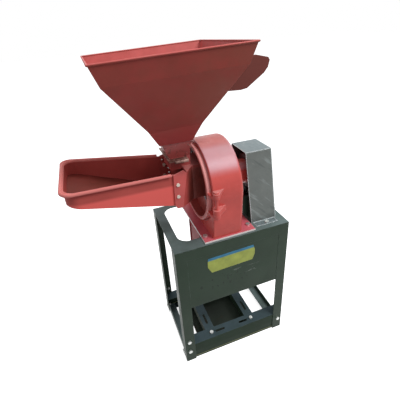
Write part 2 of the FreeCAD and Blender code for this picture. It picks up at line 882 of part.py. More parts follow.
def belt_guard():
    """Fold the belt guard: a tall trapezoid, open to the mill and to the belts below."""
    guard = body("BeltGuard")
    lean = "(guard_base_half - guard_top_half) / (guard_top - stand_height)"
    profile = sketch(guard, "GuardProfile", "YZ_Plane", "guard_left")
    outline(profile, [
        ("-guard_base_half", "stand_height"),
        ("guard_base_half", "stand_height"),
        ("guard_top_half", "guard_top"),
        ("-guard_top_half", "guard_top"),
    ])
    pad(guard, profile, "guard_right - guard_left")
    feet = sketch(guard, "GuardFeet", "XY_Plane", "stand_height")
    outer = "guard_base_half + guard_foot"
    rectangle(feet, ("guard_left + 6", "guard_right - 6"), (f"-({outer})", outer))
    pad(guard, feet, "guard_sheet")
    inside = sketch(guard, "GuardInside", "YZ_Plane", "guard_left - 1")
    low = f"guard_base_half - guard_sheet + {lean}"
    high = f"guard_top_half - guard_sheet + guard_sheet * {lean}"
    outline(inside, [
        (f"-({low})", "stand_height - 1"),
        (low, "stand_height - 1"),
        (high, "guard_top - guard_sheet"),
        (f"-({high})", "guard_top - guard_sheet"),
    ])
    pocket(guard, inside, "guard_right - guard_left - guard_sheet + 1")
    bores = sketch(guard, "GuardBores", "XY_Plane", "stand_height - 1")
    for place in GUARD_BOLTS:
        circle(bores, place, "bolt_radius + bolt_clearance")
    pocket(guard, bores, "guard_sheet + 2")
    keep(guard, "belt_guard")
    bolts = [
        bolt(f"GuardBolt{number}", "z", 1, PANEL_TOP, "stand_height + guard_sheet", place)
        for number, place in enumerate(GUARD_BOLTS)
    ]
    keep(group("GuardBoltGroup", bolts), "guard_bolts")


# Mill body

def base_plate():
    """Cut the plate under the housing, with the outlet and four bolt bores."""
    plate = body("BasePlate")
    face = sketch(plate, "BaseFace", "XY_Plane", "stand_height")
    rectangle(face, ("base_left", "base_right"), ("-base_half", "base_half"))
    rectangle(face, ("outlet_left - 2", "outlet_right + 2"), ("-outlet_half - 2", "outlet_half + 2"))
    for place in BASE_BOLTS:
        circle(face, place, "bolt_radius + bolt_clearance")
    pad(plate, face, "base_thick")
    keep(plate, "base_plate")
    bolts = [
        bolt(f"BaseBolt{number}", "z", 1, PANEL_TOP, BASE_TOP, place)
        for number, place in enumerate(BASE_BOLTS)
    ]
    keep(group("BaseBoltGroup", bolts), "base_bolts")


def discharge_chute():
    """Fold the square duct that hangs under the outlet."""
    outer = box("ChuteOuter", ("chute_left", "chute_right"), ("-chute_half", "chute_half"),
                ("chute_bottom", "stand_height"))
    flange = box("ChuteFlange", ("chute_left - chute_flange", "chute_right + chute_flange"),
                 ("-chute_half - chute_flange", "chute_half + chute_flange"),
                 ("stand_height - chute_sheet", "stand_height"))
    seam = box("ChuteSeam", ("chute_left - chute_seam", "chute_left + 1"),
               ("chute_half - chute_sheet", "chute_half"),
               ("chute_bottom", "stand_height - chute_seam_drop"))
    hollow = box("ChuteHollow", ("chute_left + chute_sheet", "chute_right - chute_sheet"),
                 ("chute_sheet - chute_half", "chute_half - chute_sheet"),
                 ("chute_bottom - 1", "stand_height + 1"))
    joined = fuse("ChuteJoined", [outer, flange, seam])
    keep(cut("Chute", joined, [hollow]), "discharge_chute")


def lug_plan(name, boss, wall_y, wall_x, bottom, top):
    """Make a flat lug from a round boss to a wall, hull-shaped in plan."""
    centre = V(value(boss[0]), value(boss[1]), 0)
    radius = value(boss[2])
    wall = [V(value(x), value(wall_y), 0) for x in wall_x]
    away = 1 if centre.y > wall[0].y else -1
    sides = []
    for corner, pick in zip(wall, (min, max)):
        reach = corner - centre
        facing = math.atan2(reach.y, reach.x)
        spread = math.acos(radius / reach.Length)
        touches = [
            centre + V(radius * math.cos(angle), radius * math.sin(angle), 0)
            for angle in (facing - spread, facing + spread)
        ]
        sides.append(pick(touches, key=lambda place: place.x))
    middle = centre + V(0, away * radius, 0)
    edges = [
        Part.makeLine(wall[1], wall[0]),
        Part.makeLine(wall[0], sides[0]),
        Part.Arc(sides[0], middle, sides[1]).toShape(),
        Part.makeLine(sides[1], wall[1]),
    ]
    face = Part.Face(Part.Wire(edges))
    face.translate(V(0, 0, value(bottom)))
    lug = doc.addObject("Part::Feature", name)
    lug.Shape = face.extrude(V(0, 0, value(top) - value(bottom)))
    return lug


HINGE_BOSS = ("hinge_x", "hinge_y", "hinge_boss_radius")
HINGE_LOW = "lower_lug_bottom - lug_thick * 3"
HINGE_HIGH = "upper_lug_bottom + lug_thick * 2"
SWING_BOSS = ("swing_x", "swing_y", "swing_lug_radius")


def round_face(casting, face, radius):
    """Round the outer edges of one of the drum's faces, above the foot."""
    place, foot = value(face), value(BASE_TOP)

    def outer(edge):
        ends = [vertex.Point for vertex in edge.Vertexes]
        return all(abs(end.x - place) < 1e-6 for end in ends) and max(end.z for end in ends) > foot + 1

    fillet(casting, casting.Tip, radius, outer)


def housing():
    """Cast the housing: a drum on a tapering box, with a funnel down to the outlet."""
    casting = body("Housing")
    drum = sketch(casting, "Drum", "YZ_Plane", "housing_front")
    circle(drum, ("0", "axis_z"), "housing_radius")
    pad(casting, drum, "housing_back - housing_front")
    legs = sketch(casting, "HousingBox", "YZ_Plane", "housing_front")
    outline(legs, [
        ("-housing_foot_half", BASE_TOP),
        ("housing_foot_half", BASE_TOP),
        ("housing_radius", "axis_z"),
        ("-housing_radius", "axis_z"),
    ])
    pad(casting, legs, "housing_back - housing_front")
    for face, radius in (("housing_back", "housing_back_round"), ("housing_front", "housing_front_round")):
        round_face(casting, face, radius)
    groove = sketch(casting, "RimGroove", "YZ_Plane", "housing_front - 1")
    circle(groove, ("0", "axis_z"), "rim_groove_outer")
    circle(groove, ("0", "axis_z"), "rim_groove_inner")
    pocket(casting, groove, "rim_groove_depth + 1")
    chamber = sketch(casting, "Chamber", "YZ_Plane", "housing_front - 1")
    circle(chamber, ("0", "axis_z"), "chamber_radius")
    pocket(casting, chamber, "housing_back - housing_front - back_wall + 1")
    funnel = sketch(casting, "Funnel", "YZ_Plane", "outlet_left")
    meet = "axis_z - sqrt(chamber_radius ^ 2 - funnel_half ^ 2)"
    outline(funnel, [
        ("-outlet_half", f"{BASE_TOP} - 1"),
        ("outlet_half", f"{BASE_TOP} - 1"),
        ("funnel_half - 1", f"{meet} + 2"),
        ("1 - funnel_half", f"{meet} + 2"),
    ])
    pocket(casting, funnel, "outlet_right - outlet_left")
    bore = sketch(casting, "HousingBore", "YZ_Plane", "housing_front")
    circle(bore, ("0", "axis_z"), "shaft_radius + 8")
    pocket(casting, bore, "housing_back - housing_front + 1")
    wall_y = f"-(housing_radius * 0.93)"
    lugs = [
        lug_plan("UpperLug", HINGE_BOSS, wall_y, ("housing_front + housing_front_round", "upper_lug_end"),
                 "upper_lug_bottom", "upper_lug_bottom + lug_thick"),
        lug_plan("LowerLug", HINGE_BOSS, wall_y, ("housing_front + housing_front_round", "lower_lug_end"),
                 "lower_lug_bottom", "lower_lug_bottom + lower_lug_thick"),
    ]
    for number, side in enumerate((-1, 1)):
        near = f"axis_z + {side} * (swing_eye_half + lug_gap)"
        far = f"axis_z + {side} * (swing_eye_half + lug_gap + swing_lug_thick)"
        bottom, top = (near, far) if side > 0 else (far, near)
        lugs.append(lug_plan(f"SwingLug{number}", SWING_BOSS, "housing_radius * 0.96",
                             ("swing_x - 16", "swing_x + 16"), bottom, top))
    whole = fuse("HousingWhole", [casting] + lugs)
    tools = [
        cylinder("ChamberClear", "x", "chamber_radius", "housing_front - 1",
                 CHAMBER_BACK, ("0", "axis_z")),
        cylinder("HingeBore", "z", "hinge_pin_radius + running_fit", HINGE_LOW,
                 HINGE_HIGH, ("hinge_x", "hinge_y")),
        cylinder("SwingBore", "z", "swing_pin_radius + running_fit", "axis_z - 40",
                 "axis_z + 40", ("swing_x", "swing_y")),
    ]
    for number in range(4):
        tools.append(cylinder(f"BearingBoltBore{number}", "x", "bolt_radius + bolt_clearance",
                              f"{CHAMBER_BACK} - 1", "housing_back + 1", ring_place(number, 4, 45, "bearing_bolt_ring")))
    keep(cut("HousingCut", whole, tools), "housing")


def ring_place(number, count, start, radius):
    """Give the place of one of several bolts on a ring about the shaft."""
    angle = start + 360 * number / count
    return (f"({radius}) * cos({angle})", f"axis_z + ({radius}) * sin({angle})")


def hinge_pin():
    """Turn the pin that the door swings on; its head lies on the upper lug."""
    across = ("hinge_x", "hinge_y")
    top = "upper_lug_bottom + lug_thick"
    low = "lower_lug_bottom - lug_gap * 2 - lug_thick"
    head = cylinder("HingeHead", "z", "hinge_head_radius", top, f"{top} + hinge_head_depth", across)
    rod = cylinder("HingeRod", "z", "hinge_pin_radius", f"{low} - hinge_head_depth", top, across)
    foot = cylinder("HingeFoot", "z", "hinge_head_radius", f"{low} - hinge_head_depth", low, across)
    keep(fuse("HingePin", [head, rod, foot]), "hinge_pin")


def swing_clamp():
    """Make the swing bolt parked along the housing, with its pin, washer and hand nut."""
    across = ("swing_x", "swing_y")
    far = "swing_eye_half + lug_gap + swing_lug_thick"
    rod = cylinder("SwingRod", "z", "swing_pin_radius", f"axis_z - ({far}) - 2", f"axis_z + {far}", across)
    head = cylinder("SwingHead", "z", "swing_pin_radius + 2.5", f"axis_z + {far}", f"axis_z + {far} + 4", across)
    keep(fuse("SwingPin", [rod, head]), "swing_pin")
    eye = cylinder("SwingEye", "z", "swing_eye_radius", "axis_z - swing_eye_half",
                   "axis_z + swing_eye_half", across)
    shank = cylinder("SwingShank", "x", "swing_bolt_radius", "swing_x",
                     "swing_x + swing_bolt_reach", ("swing_y", "axis_z"))
    bore = cylinder("SwingEyeBore", "z", "swing_pin_radius + running_fit", "axis_z - 20",
                    "axis_z + 20", across)
    keep(cut("SwingBolt", fuse("SwingBoltWhole", [eye, shank]), [bore]), "swing_bolt")
    start = "swing_x + washer_start"
    line = ("swing_y", "axis_z")
    washer = cylinder("WasherRound", "x", "washer_radius", start, f"{start} + washer_thick", line)
    hole = cylinder("WasherHole", "x", "swing_bolt_radius + running_fit", f"{start} - 1",
                    f"{start} + washer_thick + 1", line)
    keep(cut("Washer", washer, [hole]), "clamp_washer")
    base = f"{start} + washer_thick + running_fit"
    nut = cylinder("NutRound", "x", "nut_radius * 0.8", base, f"{base} + nut_thick", line)
    knobs = [
        cylinder(f"NutKnob{number}", "x", "nut_radius * 0.3", base, f"{base} + nut_thick * 0.7",
                 (f"swing_y + nut_radius * 0.7 * cos({60 * number})",
                  f"axis_z + nut_radius * 0.7 * sin({60 * number})"))
        for number in range(6)
    ]
    thread = cylinder("NutThread", "x", "swing_bolt_radius + running_fit", f"{base} - 1",
                      f"{base} + nut_thick + 1", line)
    keep(cut("HandNut", fuse("HandNutWhole", [nut] + knobs), [thread]), "hand_nut")


def shaft_line():
    """Turn the shaft, its bearings, their housing with its cap and bolts, and the shaft's seal."""
    keep(turned("Shaft", [
        ("shaft_front", "0"),
        ("shaft_front", "shaft_thread_radius"),
        (HUB_FRONT, "shaft_thread_radius"),
        (HUB_FRONT, "rotor_seat_radius"),
        ("rotor_seat_end", "rotor_seat_radius"),
        ("rotor_seat_end", "shaft_radius"),
        ("pulley_right", "shaft_radius"),
        ("pulley_right", "shaft_thread_radius"),
        ("shaft_end", "shaft_thread_radius"),
        ("shaft_end", "0"),
    ]), "shaft")
    step = "bearing_radius - 4"
    front_end = "front_bearing + bearing_width"
    carrier = turned("BearingHousing", [
        ("housing_back", "shaft_radius + 6"),
        ("housing_back", "bearing_flange_radius"),
        ("housing_back + bearing_flange_thick", "bearing_flange_radius"),
        ("housing_back + bearing_flange_thick", "bearing_body_radius"),
        ("bearing_body_end", "bearing_body_radius"),
        ("bearing_body_end", "bearing_radius"),
        ("rear_bearing", "bearing_radius"),
        ("rear_bearing", step),
        (front_end, step),
        (front_end, "bearing_radius"),
        ("front_bearing", "bearing_radius"),
        ("front_bearing", "shaft_radius + 6"),
    ])
    bores = [
        cylinder(f"CarrierBore{number}", "x", "bolt_radius + bolt_clearance", "housing_back - 1",
                 "housing_back + bearing_flange_thick + 1", ring_place(number, 4, 45, "bearing_bolt_ring"))
        for number in range(4)
    ]
    keep(cut("CarrierCut", carrier, bores), "bearing_housing")
    screws = []
    for number in range(4):
        place = ring_place(number, 4, 45, "bearing_bolt_ring")
        face = "housing_back + bearing_flange_thick"
        head = hexagon(f"CarrierHead{number}", "x", "bolt_head_radius", face, f"{face} + bolt_head_depth", place)
        rod = cylinder(f"CarrierRod{number}", "x", "bolt_radius", CHAMBER_BACK, face, place)
        screws.append(fuse(f"CarrierScrew{number}", [head, rod]))
    keep(group("CarrierScrews", screws), "bearing_housing_bolts")
    rings, inner = [], []
    for number, start in enumerate(("front_bearing", "rear_bearing")):
        end = f"{start} + bearing_width"
        rings.append(turned(f"OuterRing{number}", [
            (start, "bearing_split"), (start, "bearing_radius - 0.02"),
            (end, "bearing_radius - 0.02"), (end, "bearing_split"),
        ], "0"))
        inner.append(turned(f"InnerRing{number}", [
            (start, "shaft_radius + 0.02"), (start, "bearing_split - bearing_gap"),
            (end, "bearing_split - bearing_gap"), (end, "shaft_radius + 0.02"),
        ], "0"))
    for name, pieces, label in (("OuterRings", rings, "bearing_outer_rings"),
                                ("InnerRings", inner, "bearing_inner_rings")):
        held = keep(group(name, pieces), label)
        held.setExpression("Placement.Base.z", sized("axis_z"))
    cap = turned("BearingCap", [
        (CAP_START, "shaft_radius + seal_bore_gap"),
        (CAP_START, "bearing_body_radius"),
        (f"{CAP_START} + cap_thick", "bearing_body_radius"),
        (f"{CAP_START} + cap_thick", "shaft_radius + seal_bore_gap"),
    ])
    cap_bores = [
        cylinder(f"CapBore{number}", "x", "cap_bolt_radius + bolt_clearance", f"{CAP_START} - 1",
                 f"{CAP_START} + cap_thick + 1", ring_place(number, 4, 0, "cap_bolt_ring"))
        for number in range(4)
    ]
    keep(cut("CapCut", cap, cap_bores), "bearing_cap")
    heads = [
        fuse(f"CapScrew{number}", [
            hexagon(f"CapHead{number}", "x", "cap_bolt_radius * 1.8", f"{CAP_START} + cap_thick",
                    f"{CAP_START} + cap_thick + 3", ring_place(number, 4, 0, "cap_bolt_ring")),
            cylinder(f"CapRod{number}", "x", "cap_bolt_radius", CAP_START, f"{CAP_START} + cap_thick",
                     ring_place(number, 4, 0, "cap_bolt_ring")),
        ])
        for number in range(4)
    ]
    keep(group("CapScrews", heads), "bearing_cap_screws")
    keep(turned("ShaftSeal", [
        ("housing_back - 1", "shaft_radius + seal_bore_gap"),
        ("housing_back - 1", "shaft_radius + 5.98"),
        ("front_bearing - 1", "shaft_radius + 5.98"),
        ("front_bearing - 1", "shaft_radius + seal_bore_gap"),
    ]), "shaft_seal")


def rotor():
    """Turn the rotor disc with its hub, cut its keyway, and seat two rings of claws."""
    disc = turned("RotorDisc", [
        (HUB_FRONT, "rotor_seat_radius + running_fit"),
        (HUB_FRONT, "rotor_hub_radius"),
        ("rotor_face", "rotor_hub_radius"),
        ("rotor_face", "rotor_radius"),
        ("rotor_face + rotor_thick", "rotor_radius"),
        ("rotor_face + rotor_thick", "rotor_hub_radius"),
        ("rotor_seat_end", "rotor_hub_radius"),
        ("rotor_seat_end", "rotor_seat_radius + running_fit"),
    ])
    slot = box("RotorKeySlot", (f"{HUB_FRONT} - 1", "rotor_seat_end + 1"),
               ("-key_width / 2 - running_fit", "key_width / 2 + running_fit"),
               ("axis_z", "axis_z + rotor_seat_radius + key_height / 2 + running_fit"))
    keep(cut("RotorCut", disc, [slot]), "rotor_disc")
    claws = body("Claws")
    claws.AllowCompound = True
    for name, start, end, count in (
        ("OuterClaw", "outer_claw_start", "outer_claw_end", "outer_claws"),
        ("InnerClaw", "inner_claw_start", "inner_claw_end", "inner_claws"),
    ):
        drawing = sketch(claws, name, "YZ_Plane", "rotor_face - claw_length")
        rectangle(drawing, ("-claw_width / 2", "claw_width / 2"), (start, end))
        about_x(claws, pad(claws, drawing, "claw_length"), count)
    claws.setExpression("Placement.Base.z", sized("axis_z"))
    keep(claws, "rotor_claws")
    across = ("0", "axis_z")
    keep(cut("RotorNut", hexagon("RotorNutHex", "x", "shaft_nut_radius", f"{HUB_FRONT} - shaft_nut_depth",
                                 HUB_FRONT, across),
             [cylinder("RotorNutBore", "x", "shaft_thread_radius + running_fit",
                       f"{HUB_FRONT} - shaft_nut_depth - 1", f"{HUB_FRONT} + 1", across)]), "rotor_nut")


def pulley():
    """Turn the grooved pulley and hold it on the shaft with a nut."""
    middle = "(pulley_left + pulley_right) / 2"
    rim_inner = "pulley_radius - groove_depth - pulley_rim"
    profile = [("pulley_left", rim_inner), ("pulley_left", "pulley_radius")]
    for number in (-1, 0, 1):
        centre = f"{middle} + {number} * groove_pitch"
        profile += [
            (f"{centre} - groove_top / 2", "pulley_radius"),
            (f"{centre} - groove_bottom / 2", "pulley_radius - groove_depth"),
            (f"{centre} + groove_bottom / 2", "pulley_radius - groove_depth"),
            (f"{centre} + groove_top / 2", "pulley_radius"),
        ]
    profile += [
        ("pulley_right", "pulley_radius"),
        ("pulley_right", rim_inner),
        (f"{middle} + pulley_web / 2", rim_inner),
        (f"{middle} + pulley_web / 2", "pulley_hub_radius"),
        ("pulley_right", "pulley_hub_radius"),
        ("pulley_right", "shaft_radius + running_fit"),
        ("pulley_left", "shaft_radius + running_fit"),
        ("pulley_left", "pulley_hub_radius"),
        (f"{middle} - pulley_web / 2", "pulley_hub_radius"),
        (f"{middle} - pulley_web / 2", rim_inner),
    ]
    wheel = turned("Pulley", profile)
    keep(wheel, "pulley")
    across = ("0", "axis_z")
    keep(cut("PulleyNut", hexagon("PulleyNutHex", "x", "shaft_nut_radius", "pulley_right",
                                  "pulley_right + shaft_nut_depth", across),
             [cylinder("PulleyNutBore", "x", "shaft_thread_radius + running_fit",
                       "pulley_right - 1", "pulley_right + shaft_nut_depth + 1", across)]), "pulley_nut")


def ring_sieve():
    """Roll the slotted ring sieve and seat it in its two end rings."""
    sieve = body("RingSieve")
    face = sketch(sieve, "SieveFace", "YZ_Plane", SIEVE_FRONT)
    circle(face, ("0", "0"), "sieve_radius")
    circle(face, ("0", "0"), "sieve_radius - sieve_sheet")
    pad(sieve, face, f"{SIEVE_BACK} - ({SIEVE_FRONT})")
    slot = sketch(sieve, "SieveSlot", "XY_Plane", "sieve_radius - sieve_sheet * 2")
    rectangle(slot, (f"{SIEVE_FRONT} + sieve_slot_margin", f"{SIEVE_BACK} - sieve_slot_margin"),
              ("-sieve_slot_width / 2", "sieve_slot_width / 2"))
    about_x(sieve, pocket(sieve, slot, "sieve_sheet * 4"), "sieve_slots")
    sieve.setExpression("Placement.Base.z", sized("axis_z"))
    keep(sieve, "ring_sieve")
    rings = [
        turned(f"SieveRing{number}", [
            (start, "sieve_ring_bore"),
            (start, "chamber_radius - sieve_ring_fit"),
            (f"{start} + sieve_ring_thick", "chamber_radius - sieve_ring_fit"),
            (f"{start} + sieve_ring_thick", "sieve_ring_bore"),
        ], "0")
        for number, start in enumerate(("sieve_ring_front", SIEVE_BACK))
    ]
    held = keep(group("SieveRings", rings), "sieve_end_rings")
    held.setExpression("Placement.Base.z", sized("axis_z"))


# Door side

def door():
    """Cast the dished door: rim, spigot and floor, two hinge ears and the clamp lug."""
    dish = turned("DoorDish", [
        (DOOR_RIM, "dish_radius"),
        (DOOR_RIM, "door_rim_radius - door_rim_chamfer"),
        (f"{DOOR_RIM} + door_rim_chamfer", "door_rim_radius"),
        (DOOR_SEAT, "door_rim_radius"),
        (DOOR_SEAT, "spigot_radius"),
        ("door_face", "spigot_radius"),
        ("door_face", "feed_hole_radius"),
        ("dish_floor", "feed_hole_radius"),
        ("dish_floor", "dish_radius"),
    ])
    wall_y = "-(housing_radius + ear_gap)"
    wall_x = (DOOR_RIM, DOOR_SEAT)
    ears = []
    for name, lug in (("UpperEar", "upper_lug_bottom"), ("LowerEar", "lower_lug_bottom")):
        height = (f"{lug} - lug_gap - lug_thick", f"{lug} - lug_gap")
        ears.append(lug_plan(name, HINGE_BOSS, wall_y, wall_x, *height))
        ears.append(box(name + "Root", wall_x, (wall_y, "-(door_rim_radius * 0.9)"), height))
    clamp = box("ClampLug", (DOOR_RIM, DOOR_SEAT), ("door_rim_radius * 0.96", "clamp_reach"),
                ("axis_z - clamp_half - 5", "axis_z + clamp_half + 5"))
    whole = fuse("DoorWhole", [dish] + ears + [clamp])
    tools = [
        cylinder("EarBore", "z", "hinge_pin_radius + running_fit", HINGE_LOW,
                 HINGE_HIGH, ("hinge_x", "hinge_y")),
        box("ClampSlot", (f"{DOOR_RIM} - 1", "housing_front + 1"),
            ("swing_y - clamp_slot / 2", "clamp_reach + 1"),
            ("axis_z - clamp_slot / 2", "axis_z + clamp_slot / 2")),
    ]
    for number in range(4):
        tools.append(cylinder(f"DoorScrewBore{number}", "x", "disc_screw_radius + bolt_clearance / 2",
                              "dish_floor - 1", "door_face + 1", disc_screw_place(number)))
    for number, place in enumerate(BOX_BOLTS):
        tools.append(cylinder(f"DoorBoxBore{number}", "x", "bolt_radius + bolt_clearance / 2",
                              "dish_floor - 1", "door_face + 1", place))
    keep(cut("DoorCut", whole, tools), "door")


BOX_BOLTS = [
    (f"{side} * (box_flange_half - 6)", height)
    for side in (-1, 1)
    for height in ("box_flange_top - 14", "box_flange_bottom + 8")
]


def disc_screw_place(number):
    """Give the place of one of the fixed disc's screws, beside the feed box's flange."""
    side = 1 if number < 2 else -1
    rise = 1 if number % 2 else -1
    return (f"{side} * disc_screw_ring * cos(disc_screw_angle)",
            f"axis_z + {rise} * disc_screw_ring * sin(disc_screw_angle)")


def fixed_disc():
    """Turn the fixed disc, seat its ring of pins and screw it to the door."""
    disc = turned("FixedDisc", [
        ("door_face", "feed_hole_radius"),
        ("door_face", "fixed_disc_radius"),
        (FIXED_FACE, "fixed_disc_radius"),
        (FIXED_FACE, "feed_hole_radius"),
    ])
    bores = [
        cylinder(f"DiscScrewBore{number}", "x", "disc_screw_radius + bolt_clearance / 2",
                 "door_face - 1", f"{FIXED_FACE} + 1", disc_screw_place(number))
        for number in range(4)
    ]
    keep(cut("FixedDiscCut", disc, bores), "fixed_disc")
    pins = body("FixedPins")
    pins.AllowCompound = True
    drawing = sketch(pins, "FixedPin", "YZ_Plane", FIXED_FACE)
    circle(drawing, ("0", "fixed_pin_ring"), "fixed_pin_radius")
    about_x(pins, pad(pins, drawing, "fixed_pin_length"), "fixed_pins")
    pins.setExpression("Placement.Base.z", sized("axis_z"))
    keep(pins, "fixed_pins")
    screws = [
        fuse(f"DiscScrew{number}", [
            cylinder(f"DiscScrewRod{number}", "x", "disc_screw_radius", "dish_floor - 0.01",
                     f"{FIXED_FACE}", disc_screw_place(number)),
            hexagon(f"DiscScrewHead{number}", "x", "disc_screw_radius * 1.7", "dish_floor - 5",
                    "dish_floor", disc_screw_place(number)),
        ])
        for number in range(4)
    ]
    keep(group("DiscScrews", screws), "fixed_disc_screws")


def rectangle_wire(x, centre_y, half_y, bottom, top, lean=0.0):
    """Make a closed wire across X; its top is moved along X by the lean."""
    corners = [
        V(x, centre_y - half_y, bottom),
        V(x, centre_y + half_y, bottom),
        V(x + lean, centre_y + half_y, top),
        V(x + lean, centre_y - half_y, top),
    ]
    return Part.makePolygon(corners + corners[:1])


def level_wire(centre_x, centre_y, half_x, half_y, height):
    """Make a closed level wire."""
    corners = [
        V(centre_x - half_x, centre_y - half_y, height),
        V(centre_x + half_x, centre_y - half_y, height),
        V(centre_x + half_x, centre_y + half_y, height),
        V(centre_x - half_x, centre_y + half_y, height),
    ]
    return Part.makePolygon(corners + corners[:1])


def block(x, y, z):
    """Make a plain block shape between places given as expressions."""
    low = V(value(x[0]), value(y[0]), value(z[0]))
    high = V(value(x[1]), value(y[1]), value(z[1]))
    size = high - low
    return Part.makeBox(size.x, size.y, size.z, low)


def feed_box_form(inset):
    """Shape the feed box without its flange; inset leaves the walls out for the hollow."""
    floor = value("box_floor") + inset
    roof = value("box_roof") - inset
    rise = (value("fold_top_x") - value("fold_bottom_x")) / (value("box_roof") - value("box_floor"))
    fold_x = value("fold_bottom_x") + rise * inset - (inset and 0.01)
    lean = rise * (roof - floor)
    fold = rectangle_wire(fold_x, 0, value("cheek_half") - inset, floor, roof, lean)
    neck = rectangle_wire(value("box_neck_x"), 0, value("box_neck_half") - inset, floor, roof)
    mouth = rectangle_wire(value("dish_floor") - (0 if inset else value("box_flange_thick")), 0,
                           value("box_neck_half") - inset, floor, roof)
    form = Part.makeLoft([fold, neck], True, True)
    return form.fuse(Part.makeLoft([neck, mouth], True, True))


def throat_form(inset):
    """Shape the throat from the hopper's neck down into the box."""
    top = level_wire(value("throat_top_x"), value("throat_top_y"), value("throat_top_half_x") - inset,
                     value("throat_top_half_y") - inset, value("throat_top"))
    waist = level_wire(value("throat_x"), 0, value("throat_half_x") - inset,
                       value("throat_half_y") - inset, value("throat_waist"))
    foot = level_wire(value("throat_x"), 0, value("throat_half_x") - inset,
                      value("throat_half_y") - inset, value("box_roof") - 1.5 * value("casting_wall"))
    return Part.makeLoft([top, waist, foot], True, True)


def spigot_form(inset):
    """Shape the spigot that stands inside the hopper's neck."""
    low = level_wire(value("throat_top_x"), value("throat_top_y"), value("spigot_half_x") - inset,
                     value("spigot_half_y") - inset, value("throat_top") - 1)
    high = level_wire(value("throat_top_x"), value("throat_top_y"), value("spigot_half_x") - inset,
                      value("spigot_half_y") - inset, value("throat_top + spigot_height"))
    return Part.makeLoft([low, high], True, True)


def cheek_form(side):
    """Shape one of the two cheeks that hold the tray."""
    wall = value("casting_wall")
    near = side * value("cheek_half") - (wall if side > 0 else 0)
    corners = [
        ("cheek_bottom_x", "box_floor + 12"),
        ("cheek_bottom_x + 6", "box_floor"),
        ("fold_bottom_x", "box_floor"),
        ("fold_top_x", "cheek_peak - 9"),
        ("fold_top_x - 9", "cheek_peak"),
        ("cheek_top_x", "box_roof - 3"),
    ]
    places = [V(value(x), near, value(z)) for x, z in corners]
    return Part.Face(Part.makePolygon(places + places[:1])).extrude(V(0, wall, 0))


def feed_box():
    """Cast the feed box: cheeks, a narrowing box with its flange, and the throat above."""
    wall = value("casting_wall")
    flange = block(("dish_floor - box_flange_thick", "dish_floor"), ("-box_flange_half", "box_flange_half"),
                   ("box_flange_bottom", "box_flange_top"))
    solid = feed_box_form(0).multiFuse([
        flange, throat_form(0), spigot_form(0), cheek_form(-1), cheek_form(1),
    ])
    hollow = feed_box_form(wall).multiFuse([throat_form(wall), spigot_form(wall * 0.6)])
    slot = block(("gate_left - 30", "gate_right + gate_gap"), ("-cheek_half", "cheek_half"),
                 ("gate_z - gate_sheet / 2 - gate_gap", "gate_z + gate_sheet / 2 + gate_gap"))
    tools = [hollow, slot]
    for place in BOX_BOLTS:
        start = V(value("dish_floor - box_flange_thick") - 1, value(place[0]), value(place[1]))
        tools.append(Part.makeCylinder(value("bolt_radius + bolt_clearance / 2"),
                                       value("box_flange_thick") + 2, start, V(1, 0, 0)))
    for x, z in TRAY_BOLTS:
        start = V(value(x), -value("cheek_half") - 1, value(z))
        tools.append(Part.makeCylinder(value("cap_bolt_radius + bolt_clearance"),
                                       2 * value("cheek_half") + 2, start, V(0, 1, 0)))
    piece = doc.addObject("Part::Feature", "FeedBox")
    piece.Shape = solid.cut(tools).removeSplitter()
    keep(piece, "feed_box")
    bolts = [
        fuse(f"BoxBolt{number}", [
            hexagon(f"BoxBoltHead{number}", "x", "bolt_head_radius * 0.8",
                    "dish_floor - box_flange_thick - 4", "dish_floor - box_flange_thick", place),
            cylinder(f"BoxBoltRod{number}", "x", "bolt_radius", "dish_floor - box_flange_thick",
                     "door_face", place),
        ])
        for number, place in enumerate(BOX_BOLTS)
    ]
    keep(group("BoxBolts", bolts), "feed_box_bolts")


TRAY_BOLTS = [
    ("tray_inner_x - 9", "box_roof - 35"),
    ("tray_inner_x - 11", "box_floor + 41"),
]


def slide_gate():
    """Cut the slide gate and roll the grip on its front edge to pull it by."""
    plate = box("GatePlate", ("gate_left", "gate_right"), ("gate_front", "gate_back"),
                ("gate_z - gate_sheet / 2", "gate_z + gate_sheet / 2"))
    grip = cylinder("GateGrip", "x", "gate_grip_radius", "gate_grip_left", "gate_grip_right",
                    ("gate_front - gate_grip_radius / 2", "gate_z"))
    keep(fuse("SlideGate", [plate, grip]), "slide_gate")


